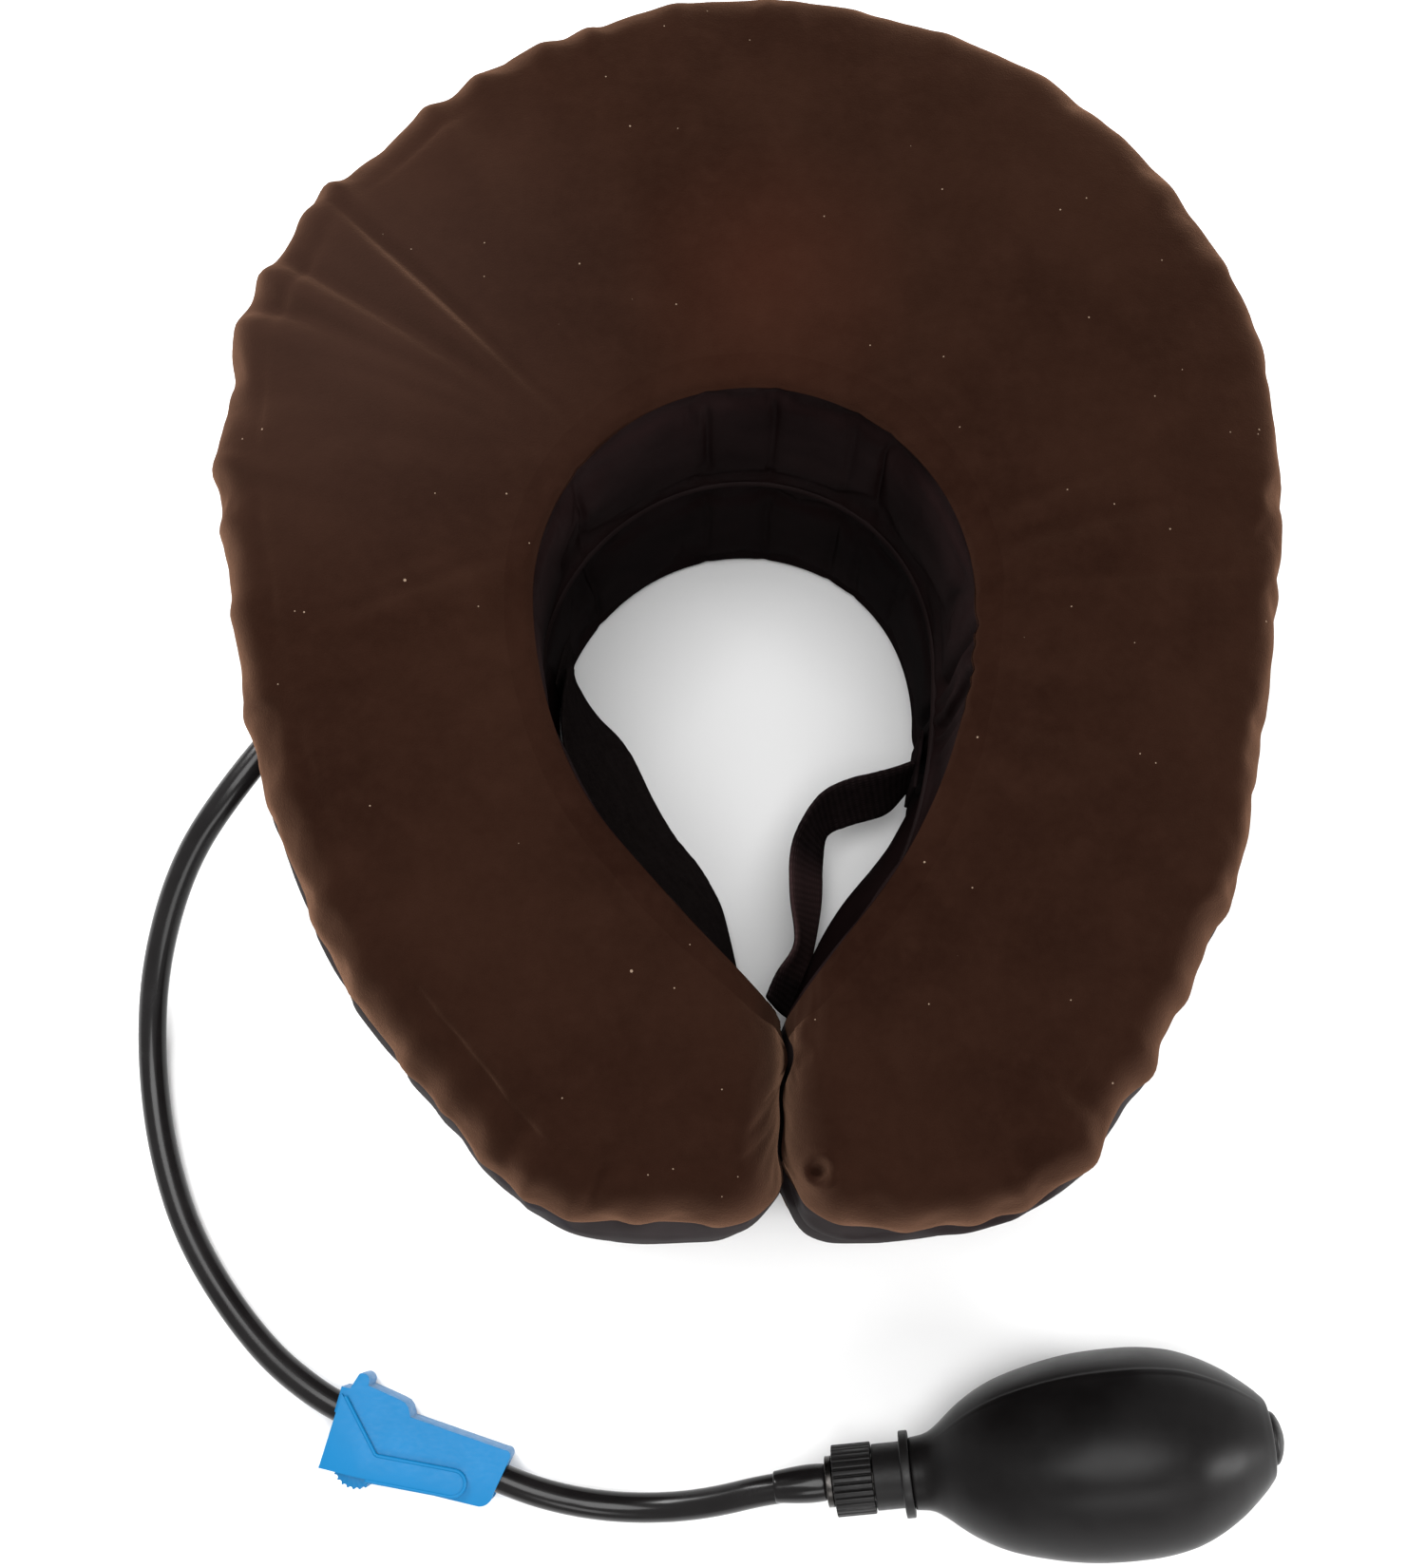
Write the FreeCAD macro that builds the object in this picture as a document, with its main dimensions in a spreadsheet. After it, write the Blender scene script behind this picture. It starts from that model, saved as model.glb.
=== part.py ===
import FreeCAD, Part
import math
import os
import Sketcher
from FreeCAD import Placement, Rotation, Vector

# Inflatable cervical traction collar with its hose, roller clamp and hand bulb.
# Millimetres, +Z up, the front opening towards -Y.
# The origin is the centre of the neck opening, on the surface that the collar stands on.

doc = FreeCAD.newDocument("cervical_traction_device")

SIZES = {
    # collar
    "collar_height": 125.0,
    "tier_gap": 1.6,
    "panel_thickness": 1.5,
    "skirt_height": 21.0,
    "wall_thickness": 1.2,
    "lining_thickness": 1.2,
    "bladder_clearance": 1.8,
    "film_thickness": 0.5,
    "transfer_port_radius": 7.0,
    "transfer_port_bore": 3.0,
    "transfer_port_height": 5.0,
    "piping_height": 1.0,
    "piping_width": 2.0,
    # straps
    "loop_strap_thickness": 2.6,
    "hook_strap_thickness": 1.8,
    "patch_length": 15.0,
    "patch_height": 26.0,
    "patch_thickness": 1.0,
    # hose and its port
    "hose_radius": 3.6,
    "hose_bore": 2.0,
    "port_height": 31.0,
    "port_flange_radius": 8.0,
    "port_flange_thickness": 1.0,
    "port_neck_radius": 4.2,
    "port_nozzle_radius": 1.9,
    "port_nozzle_length": 5.0,
    "eyelet_radius": 7.2,
    "eyelet_thickness": 0.8,
    # roller clamp
    "clamp_width": 12.4,
    "clamp_boss_width": 14.8,
    "clamp_channel_width": 9.0,
    "clamp_track_depth": 12.8,
    "roller_radius": 6.0,
    "roller_width": 8.2,
    "roller_bore": 1.55,
    "roller_rib_count": 24,
    "roller_rib_depth": 0.6,
    "axle_radius": 1.5,
    "axle_length": 12.2,
    # air release valve
    "nut_radius": 8.4,
    "nut_bore": 5.45,
    "nut_length": 9.4,
    "nut_groove_count": 30,
    "nut_groove_depth": 0.7,
    "seal_ring_radius": 4.6,
    "seal_wire_radius": 0.7,
    "check_disc_radius": 3.2,
    "check_disc_thickness": 1.0,
    "intake_disc_radius": 3.0,
    # hand bulb
    "bulb_radius": 25.5,
    "bulb_wall": 2.2,
}

sheet = doc.addObject("Spreadsheet::Sheet", "Sizes")
for row, (alias, value) in enumerate(SIZES.items(), start=1):
    sheet.set("A%d" % row, alias)
    sheet.set("B%d" % row, str(value))
    sheet.setAlias("B%d" % row, alias)
doc.recompute()


def size(alias):
    """One driving dimension, read from the spreadsheet."""
    return float(sheet.get(alias))


def bind(thing, prop, formula):
    """Ties a property to the spreadsheet. A dimension's name in the formula becomes its cell."""
    words = formula.replace("(", " ( ").replace(")", " ) ").split()
    linked = ["Sizes." + w if w in SIZES else w for w in words]
    thing.setExpression(prop, " ".join(linked))


PARTS = []


def keep(item, node):
    """Names a finished sub-part and lists it for export."""
    item.Label = node
    PARTS.append(item)
    return item


def feature(node, shape):
    """A sub-part whose shape is computed with Part's own functions."""
    item = doc.addObject("Part::Feature", node)
    item.Shape = shape
    return keep(item, node)


# ---------------------------------------------------------------- outlines

def turned(direction, angle):
    """A plan direction turned about +Z by an angle in radians."""
    return Rotation(Vector(0, 0, 1), math.degrees(angle)).multVec(direction)


def chain_turns(start, heading, points):
    """The heading at each point of a chain of tangent arcs."""
    headings = [heading]
    at = start
    for point in points:
        chord = point - at
        angle = math.atan2(chord.y, chord.x) - math.atan2(heading.y, heading.x)
        angle = (angle + math.pi) % (2 * math.pi) - math.pi
        heading = turned(heading, 2 * angle)
        headings.append(heading)
        at = point
    return headings


def chain_edges(start, heading, points):
    """Arcs from point to point, each tangent to the one before it."""
    headings = chain_turns(start, heading, points)
    edges = []
    at = start
    for point, before, after in zip(points, headings, headings[1:]):
        half_turn = math.atan2(before.cross(after).z, before.dot(after)) / 2
        if abs(half_turn) < 0.002:
            edges.append(Part.LineSegment(at, point).toShape())
        else:
            chord = point - at
            side = Vector(-chord.y, chord.x, 0).normalize()
            rise = chord.Length / 2 * math.tan(half_turn / 2)
            middle = (at + point) / 2 - side * rise
            edges.append(Part.Arc(at, middle, point).toShape())
        at = point
    return edges


# The slit between the two front lobes runs from the tip of the opening to the front.
SLIT_LEFT = 6.0
SLIT_RIGHT = 7.0
TIP_Y = -88.0

# Outer edge in plan, from the tip down the left lobe, round the back and down to the right lobe.
OUTER_HEADING = Vector(0, -1, 0)
OUTER = [
    Vector(SLIT_LEFT, -117, 0),
    Vector(-8, -131, 0),
    Vector(-26, -131, 0),
    Vector(-57, -118, 0),
    Vector(-98, -60, 0),
    Vector(-119, 44, 0),
    Vector(0, 154, 0),
    Vector(119, 44, 0),
    Vector(105, -59, 0),
    Vector(73, -113, 0),
    Vector(44, -130, 0),
    Vector(21, -132, 0),
    Vector(SLIT_RIGHT, -118, 0),
]

# Edge of the neck opening in plan, from its back centre to the tip, down the left and right sides.
OPENING_BACK = Vector(0, 48.5, 0)
OPENING_LEFT = [Vector(-46.8, 1, 0), Vector(-40.4, -31.2, 0), Vector(-28.2, -51.5, 0)]
OPENING_RIGHT = [Vector(47.8, -1, 0), Vector(41.2, -35.3, 0), Vector(24, -66, 0)]
LEFT_TIP = Vector(SLIT_LEFT, TIP_Y, 0)
RIGHT_TIP = Vector(SLIT_RIGHT, TIP_Y, 0)


def shifted(start, heading, points, distance):
    """The start and points of a chain, moved sideways to its left by a distance."""
    headings = chain_turns(start, heading, points)
    moved = [
        p + Vector(-h.y, h.x, 0) * distance for p, h in zip([start] + points, headings)
    ]
    return moved[0], moved[1:]


def opening_side(points, tip, heading, inset):
    """One side of the opening, from the back to the tip, moved into the ring by the inset."""
    sign = -1 if heading.x < 0 else 1
    return shifted(OPENING_BACK, heading, points + [tip], sign * inset)


def tip_at(side_points, slit_x):
    """Where the last run of an opening side meets the slit wall at slit_x."""
    before, last = side_points[-2], side_points[-1]
    share = (slit_x - before.x) / (last.x - before.x)
    return before + (last - before) * share


def tips(outer_inset, inner_inset):
    """The left and right tips of the ring, for the given insets from its outer edge and opening."""
    left = opening_side(OPENING_LEFT, LEFT_TIP, Vector(-1, 0, 0), inner_inset)[1]
    right = opening_side(OPENING_RIGHT, RIGHT_TIP, Vector(1, 0, 0), inner_inset)[1]
    return tip_at(left, SLIT_LEFT - outer_inset), tip_at(right, SLIT_RIGHT + outer_inset)


def lifted(edges, height):
    moved = []
    for edge in edges:
        copy = edge.copy()
        copy.translate(Vector(0, 0, height))
        moved.append(copy)
    return moved


def outer_edges(outer_inset, inner_inset):
    """The ring's outer edge, from the left tip to the right tip."""
    left, right = tips(outer_inset, inner_inset)
    moved = shifted(LEFT_TIP, OUTER_HEADING, OUTER, -outer_inset)[1]
    return chain_edges(left, OUTER_HEADING, moved + [right])


def opening_edges(outer_inset, inner_inset):
    """The ring's opening, from the right tip round the back to the left tip."""
    left, right = tips(outer_inset, inner_inset)
    west, east = Vector(-1, 0, 0), Vector(1, 0, 0)
    start, left_side = opening_side(OPENING_LEFT, LEFT_TIP, west, inner_inset)
    right_side = opening_side(OPENING_RIGHT, RIGHT_TIP, east, inner_inset)[1]
    to_left = chain_edges(start, west, left_side[:-1] + [left])
    to_right = chain_edges(start, east, right_side[:-1] + [right])
    return [reverse_edge(e) for e in reversed(to_right)] + to_left


def reverse_edge(edge):
    """The same edge, drawn from its other end."""
    first, last = edge.firstVertex(True).Point, edge.lastVertex(True).Point
    if edge.Curve.TypeId == "Part::GeomLine":
        return Part.LineSegment(last, first).toShape()
    middle = edge.valueAt((edge.FirstParameter + edge.LastParameter) / 2)
    return Part.Arc(last, middle, first).toShape()


def ring_wire(height, outer_inset, inner_inset):
    """The closed outline of the C-shaped ring at one height."""
    edges = outer_edges(outer_inset, inner_inset) + opening_edges(outer_inset, inner_inset)
    return Part.Wire(lifted(edges, height))


def wall_wire(height, outer_inset, thickness, inner_inset):
    """The closed outline of the ring's outer wall at one height."""
    outside = outer_edges(outer_inset, inner_inset)
    inside = outer_edges(outer_inset + thickness, inner_inset)
    back = [reverse_edge(e) for e in reversed(inside)]
    first = Part.LineSegment(
        outside[-1].lastVertex(True).Point, inside[-1].lastVertex(True).Point
    ).toShape()
    last = Part.LineSegment(
        inside[0].firstVertex(True).Point, outside[0].firstVertex(True).Point
    ).toShape()
    return Part.Wire(lifted(outside + [first] + back + [last], height))


def lining_wire(height, outer_inset, thickness):
    """The closed outline of the lining round the neck opening at one height."""
    inside = opening_edges(outer_inset, 0)
    outside = opening_edges(outer_inset, thickness)
    back = [reverse_edge(e) for e in reversed(outside)]
    first = Part.LineSegment(
        inside[-1].lastVertex(True).Point, outside[-1].lastVertex(True).Point
    ).toShape()
    last = Part.LineSegment(
        outside[0].firstVertex(True).Point, inside[0].firstVertex(True).Point
    ).toShape()
    return Part.Wire(lifted(inside + [first] + back + [last], height))


def loft(wires):
    return Part.makeLoft(wires, True, True)


# ---------------------------------------------------------------- collar

HEIGHT = size("collar_height")
MIDDLE = HEIGHT / 2
SKIRT = size("skirt_height")
PANEL = size("panel_thickness")
WALL = size("wall_thickness")
LINING = size("lining_thickness")
GAP = size("tier_gap")
# The side walls start this far into the ring from the opening, just behind the lining.
WALL_START = LINING + 0.3

# How far the outer edge draws in at each height of the lower tier, from its base to its seam.
TIER_PROFILE = [(0, 10), (3, 6), (9, 2), (20, 0), (42, 0), (50, 1.5), (57, 5), (62.5, 9)]
SEAM_CLEARANCE = 0.3
# The two bladders are joined by a port behind the neck.
TRANSFER_Y = 100.0


def tier_inset(height):
    """How far the tier's outer edge draws in at a height, between the profile's points."""
    for (low, a), (high, b) in zip(TIER_PROFILE, TIER_PROFILE[1:]):
        if height <= high:
            return a + (b - a) * (height - low) / (high - low)
    return TIER_PROFILE[-1][1]


def levels(low, high):
    """The two end heights and the profile's heights that lie between them."""
    between = [z for z, inset in TIER_PROFILE if low + 0.5 < z < high - 0.5]
    return [low] + between + [high]


def panel_shape():
    """The bottom panel: a flat sheet with a skirt that turns up round the tier's outer edge."""
    def sheet_wire(z):
        return ring_wire(z, tier_inset(z), 0)

    def skirt_wire(z):
        return wall_wire(z, tier_inset(z), PANEL, WALL_START)

    flat = loft([sheet_wire(0), sheet_wire(PANEL)])
    skirt = loft([skirt_wire(z) for z in levels(PANEL, SKIRT)])
    return flat.fuse(skirt).removeSplitter()


def outer_wall_shape():
    """The tier's side wall, from the panel's skirt to the seam between the tiers."""
    low = SKIRT + SEAM_CLEARANCE
    high = MIDDLE - GAP / 2
    wires = [wall_wire(z, tier_inset(z), WALL, WALL_START) for z in levels(low, high)]
    return loft(wires)


def lining_shape():
    """The tier's band of lining round the neck opening."""
    low = PANEL
    high = MIDDLE - GAP / 2
    return loft([lining_wire(z, tier_inset(z), LINING) for z in levels(low, high)])


def bladder_shape():
    """The tier's air bladder: a closed bag of film, hollow inside."""
    skin = max(PANEL, WALL) + size("bladder_clearance")
    film = size("film_thickness")
    inner = LINING + SEAM_CLEARANCE
    low = PANEL + SEAM_CLEARANCE
    high = MIDDLE - GAP / 2 - SEAM_CLEARANCE

    def bag(inset, bottom, top):
        wires = [
            ring_wire(z, tier_inset(z) + skin + inset, inner + inset)
            for z in levels(bottom, top)
        ]
        return loft(wires)

    hole = Part.makeCylinder(size("transfer_port_radius") + SEAM_CLEARANCE, HEIGHT)
    hole.translate(Vector(0, TRANSFER_Y, MIDDLE - size("transfer_port_height")))
    return bag(0, low, high).cut(bag(film, low + film, high - film)).cut(hole)


def upper(shape):
    """A lower-tier shape mirrored into the upper tier."""
    return shape.mirror(Vector(0, 0, MIDDLE), Vector(0, 0, 1))


# The port stands on the left side wall of the lower tier.
PORT_Y = -6.0


def left_side_at(y):
    """The point of the ring's left outer edge at a Y, and the outward direction there."""
    level = Part.LineSegment(Vector(-200, y, 0), Vector(0, y, 0)).toShape()
    side = next(edge for edge in outer_edges(0, 0) if edge.distToShape(level)[0] < 0.001)
    point = side.distToShape(level)[1][0][0]
    along = side.tangentAt(side.Curve.parameter(point))
    return point, Vector(-along.y, along.x, 0).normalize()


PORT_FOOT, PORT_NORMAL = left_side_at(PORT_Y)
PORT_FOOT = PORT_FOOT + Vector(0, 0, size("port_height"))
NOZZLE_DIRECTION = Vector(-0.62, -0.785, 0).normalize()
PORT_ELBOW = PORT_FOOT + PORT_NORMAL * 2.6
PORT_SHOULDER = 4.3
PORT_BORE = 1.2
HOSE_START = PORT_ELBOW + NOZZLE_DIRECTION * PORT_SHOULDER
PORT_HOLE = Part.makeCylinder(
    size("port_neck_radius") + 0.2, 12, PORT_FOOT - PORT_NORMAL * 8, PORT_NORMAL
)
FILM_HOLE = Part.makeCylinder(
    size("port_nozzle_radius") + 0.6, 12, PORT_FOOT - PORT_NORMAL * 8, PORT_NORMAL
)


def make_collar():
    panel = panel_shape()
    wall = outer_wall_shape()
    lining = lining_shape()
    bladder = bladder_shape()
    feature("bottom_velvet_panel", panel.cut(PORT_HOLE))
    feature("lower_outer_wall", wall.cut(PORT_HOLE))
    feature("lower_inner_lining", lining)
    feature("lower_bladder", bladder.cut(FILM_HOLE))
    feature("upper_inner_lining", upper(lining))
    feature("upper_outer_wall", upper(wall))
    feature("upper_bladder", upper(bladder))
    feature("top_velvet_panel", upper(panel))


# ---------------------------------------------------------------- seam and transfer port

SEAM_INSET = tier_inset(MIDDLE - GAP / 2)


def make_seam():
    """The piping on the seam between the tiers, and the port that joins their bladders."""
    low = MIDDLE - size("piping_height") / 2
    high = MIDDLE + size("piping_height") / 2
    width = size("piping_width")
    outside = [wall_wire(z, SEAM_INSET, width, WALL_START) for z in (low, high)]
    inside = [lining_wire(z, SEAM_INSET + width, width) for z in (low, high)]
    feature("outer_seam_piping", loft(outside))
    feature("inner_seam_piping", loft(inside))

    tube = doc.addObject("Part::Cylinder", "transfer_tube")
    bind(tube, "Radius", "transfer_port_radius")
    bind(tube, "Height", "transfer_port_height")
    bore = doc.addObject("Part::Cylinder", "transfer_bore")
    bind(bore, "Radius", "transfer_port_bore")
    bind(bore, "Height", "transfer_port_height * 2")
    bore.Placement.Base = Vector(0, 0, -size("transfer_port_height") / 2)
    port = doc.addObject("Part::Cut", "transfer_port")
    port.Base = tube
    port.Tool = bore
    port.Placement.Base = Vector(0, TRANSFER_Y, MIDDLE - size("transfer_port_height") / 2)
    keep(port, "air_transfer_port")


# ---------------------------------------------------------------- straps

# Each station is the strap's lower edge and its upper edge, in millimetres.
LOOP_STRAP = [
    (Vector(-41.4, 9.5, 2.5), Vector(-41.9, 8, 40)),
    (Vector(-37.2, 3.5, 2.5), Vector(-42.6, -6, 46)),
    (Vector(-30.5, -5.5, 2.5), Vector(-41.2, -20, 48)),
    (Vector(-19.5, -27.5, 2.5), Vector(-33.6, -38, 48)),
    (Vector(-11.2, -38, 2.5), Vector(-23.6, -52, 48)),
    (Vector(-7.0, -46, 2.5), Vector(-14.6, -61.6, 47)),
    (Vector(-4.6, -56, 2.5), Vector(-8.2, -68.2, 46)),
    (Vector(-2.6, -65, 2.5), Vector(-3.6, -72, 44)),
]
HOOK_STRAP = [
    (Vector(43.4, -18.6, 14), Vector(43.8, -15.5, 38)),
    (Vector(36.7, -25.0, 14), Vector(33.5, -18.8, 38)),
    (Vector(27.7, -27.5, 14), Vector(24.0, -21.4, 38)),
    (Vector(21.2, -30.5, 14), Vector(17.4, -25.5, 38)),
    (Vector(20.2, -37.5, 14), Vector(11.6, -36.0, 38)),
    (Vector(19.4, -47.5, 14), Vector(11.0, -49.5, 38)),
    (Vector(16.4, -62.4, 14), Vector(12.2, -63.0, 38)),
    (Vector(10.6, -73.5, 16), Vector(8.6, -71.5, 36)),
]


def strap_shape(stations, thickness):
    """A flat band through its stations, of even thickness."""
    sections = []
    for i, (low, high) in enumerate(stations):
        before = stations[max(i - 1, 0)]
        after = stations[min(i + 1, len(stations) - 1)]
        along = (after[0] + after[1]) - (before[0] + before[1])
        face = along.cross(high - low).normalize() * (thickness / 2)
        corners = [low - face, high - face, high + face, low + face]
        sections.append(Part.makePolygon(corners + corners[:1]))
    return loft(sections)


def make_patch(node, centre, angle):
    """A stitched patch that holds a strap on the lining, turned about +Z to face the opening."""
    patch = doc.addObject("Part::Box", node)
    bind(patch, "Length", "patch_thickness")
    bind(patch, "Width", "patch_length")
    bind(patch, "Height", "patch_height")
    turn = Rotation(Vector(0, 0, 1), angle)
    middle = Vector(size("patch_thickness") / 2, size("patch_length") / 2, 0)
    patch.Placement = Placement(centre - turn.multVec(middle), turn)
    keep(patch, node)


def make_straps():
    feature("loop_strap", strap_shape(LOOP_STRAP, size("loop_strap_thickness")))
    feature("hook_strap", strap_shape(HOOK_STRAP, size("hook_strap_thickness")))
    make_patch("loop_strap_patch", Vector(-44.2, 11.7, 10), -12.7)
    make_patch("hook_strap_patch", Vector(45.3, -15.6, 13), -9)


# ---------------------------------------------------------------- hose port

def make_port():
    """The port welded to the lower bladder: a flange, a neck through the wall and a nozzle."""
    flange_place = PORT_FOOT - PORT_NORMAL * (PANEL + size("bladder_clearance") - SEAM_CLEARANCE)
    flange = Part.makeCylinder(
        size("port_flange_radius"), size("port_flange_thickness"), flange_place, PORT_NORMAL
    )
    neck_length = (PORT_ELBOW - flange_place).Length
    neck = Part.makeCylinder(size("port_neck_radius"), neck_length, flange_place, PORT_NORMAL)
    elbow = Part.makeSphere(size("port_neck_radius"), PORT_ELBOW)
    shoulder = Part.makeCylinder(
        size("port_neck_radius"), PORT_SHOULDER, PORT_ELBOW, NOZZLE_DIRECTION
    )
    nozzle = Part.makeCylinder(
        size("port_nozzle_radius"),
        PORT_SHOULDER + size("port_nozzle_length"),
        PORT_ELBOW,
        NOZZLE_DIRECTION,
    )
    bore_in = Part.makeCylinder(PORT_BORE, 20, PORT_ELBOW, PORT_NORMAL * -1)
    bore_out = Part.makeCylinder(PORT_BORE, 20, PORT_ELBOW, NOZZLE_DIRECTION)
    turn = Part.makeSphere(PORT_BORE, PORT_ELBOW)
    solid = flange.fuse([neck, elbow, shoulder, nozzle]).cut([bore_in, bore_out, turn])
    feature("hose_port", solid)

    rim = Part.makeCylinder(
        size("eyelet_radius"), size("eyelet_thickness"), PORT_FOOT + PORT_NORMAL * 0.1, PORT_NORMAL
    )
    feature("port_eyelet", rim.cut(PORT_HOLE))


# ---------------------------------------------------------------- hose

def frame_point(place, x, y, z=0):
    """A point given in a sub-assembly's own frame, in the whole object's frame."""
    return place.multVec(Vector(x, y, z))


CLAMP_PLACE = Placement(
    Vector(-102.5, -178.4, size("clamp_boss_width") / 2), Rotation(Vector(0, 0, 1), -17.6)
)
BULB_PLACE = Placement(
    Vector(21.0, -190.5, 18.95),
    Rotation(Vector(0, 0, 1), 6) * Rotation(Vector(0, 1, 0), -6),
)

# The hose lies straight inside the clamp, from one end of its channel to the other.
HOSE_IN = frame_point(CLAMP_PLACE, 8, 3.75)
HOSE_OUT = frame_point(CLAMP_PLACE, 43.5, 0.45)
HOSE_AXIS = (HOSE_OUT - HOSE_IN).normalize()
VALVE_AXIS = BULB_PLACE.Rotation.multVec(Vector(1, 0, 0))
HOSE_END = frame_point(BULB_PLACE, -1.8, 0)
LEAD_IN = 13.0

COLLAR_RUN = [
    HOSE_START,
    HOSE_START + NOZZLE_DIRECTION * 14,
    Vector(-143.4, -39, 23),
    Vector(-152.2, -63, 11.5),
    Vector(-153.8, -87, 4.4),
    Vector(-149.6, -112, 3.8),
    Vector(-140.6, -135.5, 3.8),
    Vector(-122.5, -159.5, 5.6),
    HOSE_IN - HOSE_AXIS * LEAD_IN,
    HOSE_IN,
]
BULB_RUN = [
    HOSE_OUT,
    HOSE_OUT + HOSE_AXIS * LEAD_IN,
    Vector(-35.5, -199.3, 5.4),
    Vector(-21.5, -199.4, 6.5),
    Vector(-8.5, -196.9, 11.2),
    HOSE_END - VALVE_AXIS * LEAD_IN,
    HOSE_END,
]
ARC_SHARE = 0.45


def route_wire(name, points):
    """Straight runs joined by tangent arcs as large as the runs allow."""
    edges = []
    at = points[0]
    radii = []
    for before, corner, after in zip(points, points[1:], points[2:]):
        inward = (before - corner).normalize()
        outward = (after - corner).normalize()
        half_turn = (math.pi - inward.getAngle(outward)) / 2
        cut = ARC_SHARE * min((before - corner).Length, (after - corner).Length)
        radius = cut / math.tan(half_turn)
        radii.append(radius)
        bisector = (inward + outward).normalize()
        middle = corner + bisector * (radius / math.cos(half_turn) - radius)
        first, last = corner + inward * cut, corner + outward * cut
        edges.append(Part.LineSegment(at, first).toShape())
        edges.append(Part.Arc(first, middle, last).toShape())
        at = last
    edges.append(Part.LineSegment(at, points[-1]).toShape())
    print(name, "bend radii:", ", ".join("%.0f" % r for r in radii))
    return Part.Wire(edges)


def hose_shape(name, wire):
    """A hollow tube along a wire, checked against its section times its length."""
    start, along = wire.Edges[0].valueAt(0), wire.Edges[0].tangentAt(0)
    outer, bore = size("hose_radius"), size("hose_bore")

    def filled(radius):
        circle = Part.Wire(Part.Circle(start, along, radius).toShape())
        return wire.makePipe(Part.Face(circle))

    tube = filled(outer).cut(filled(bore))
    expected = math.pi * (outer ** 2 - bore ** 2) * wire.Length
    print(name, "length %.1f, volume %.1f of %.1f" % (wire.Length, tube.Volume, expected))
    if abs(tube.Volume / expected - 1) > 0.01:
        raise RuntimeError(name + ": the tube's volume is wrong")
    return tube


def make_hose():
    straight = Part.Wire(Part.LineSegment(HOSE_IN, HOSE_OUT).toShape())
    runs = [
        ("hose_collar_run", route_wire("hose_collar_run", COLLAR_RUN)),
        ("hose_in_clamp", straight),
        ("hose_bulb_run", route_wire("hose_bulb_run", BULB_RUN)),
    ]
    for node, wire in runs:
        feature(node, hose_shape(node, wire))
    print("hose length %.1f" % sum(wire.Length for node, wire in runs))


# ---------------------------------------------------------------- roller clamp

def origin_plane(body, role):
    return next(f for f in body.Origin.OriginFeatures if f.Role == role)


def new_body(node, place):
    body = doc.addObject("PartDesign::Body", node)
    body.Placement = place
    return body


def new_sketch(body, name, role="XY_Plane"):
    sketch = body.newObject("Sketcher::SketchObject", name)
    sketch.AttachmentSupport = [(origin_plane(body, role), "")]
    sketch.MapMode = "FlatFace"
    return sketch


def draw(sketch, points):
    """A closed outline. A point written as (x, y, x2, y2) is reached by an arc through x2, y2."""
    corners = [Vector(p[0], p[1], 0) for p in points]
    for i, point in enumerate(points):
        start = corners[i - 1]
        if len(point) == 4:
            through = Vector(point[2], point[3], 0)
            curve = Part.Arc(start, through, corners[i])
        else:
            curve = Part.LineSegment(start, corners[i])
        sketch.addGeometry(curve, False)


def draw_circle(sketch, x, y, formula):
    """A circle whose radius follows the spreadsheet."""
    index = sketch.addGeometry(Part.Circle(Vector(x, y, 0), Vector(0, 0, 1), 1), False)
    at = sketch.addConstraint(Sketcher.Constraint("Radius", index, 1.0))
    bind(sketch, "Constraints[%d]" % at, formula)


def slab(body, kind, name, sketch, formula):
    """A Pad or Pocket that is centred on its sketch's plane."""
    item = body.newObject("PartDesign::" + kind, name)
    item.Profile = sketch
    item.Midplane = True
    bind(item, "Length", formula)
    sketch.Visibility = False
    return item


def revolved(node, points):
    """A turned part of the valve or bulb: a closed half profile, turned about its X axis."""
    body = new_body(node, BULB_PLACE)
    sketch = new_sketch(body, node + "_profile")
    draw(sketch, points)
    turn = body.newObject("PartDesign::Revolution", node + "_turn")
    turn.Profile = sketch
    turn.ReferenceAxis = (sketch, ["H_Axis"])
    turn.Angle = 360
    doc.recompute()
    keep(body, node)


# The clamp's own frame: X from its wide mouth to its narrow end, Y towards its closed side.
CLAMP_SIDE = [
    (0.4, -9.8), (40.6, -6.6), (43.2, -3.0, 42.6, -5.4), (44.4, 6.2), (42.6, 7.9, 44.1, 7.5),
    (18.0, 8.2), (5.6, 13.2), (2.6, 14.2, 4.6, 14.4), (1.6, 10.2), (-0.6, 10.0),
]
CLAMP_CHANNEL = [(-4, 9.0), (0, 8.9), (8, 7.45), (50, 3.55), (50, -20), (-4, -20)]
TRACK_START = Vector(9, -6.4, 0)
TRACK_END = Vector(33, -3.3, 0)
TRACK_DIRECTION = (TRACK_END - TRACK_START).normalize()
TRACK_SIDE = Vector(-TRACK_DIRECTION.y, TRACK_DIRECTION.x, 0)
BOSS_HALF_WIDTH = 3.5
GROOVE_HALF_WIDTH = 1.7


def track_outline(half_width, mouth):
    """The roller track: its mouth corners, then round its far end."""
    upper_start = TRACK_START + TRACK_DIRECTION * 4 + TRACK_SIDE * half_width
    upper_end = TRACK_END + TRACK_SIDE * half_width
    tip = TRACK_END + TRACK_DIRECTION * half_width
    lower_end = TRACK_END - TRACK_SIDE * half_width
    return mouth[:1] + [
        (upper_start.x, upper_start.y),
        (upper_end.x, upper_end.y),
        (lower_end.x, lower_end.y, tip.x, tip.y),
    ] + mouth[1:]


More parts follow.
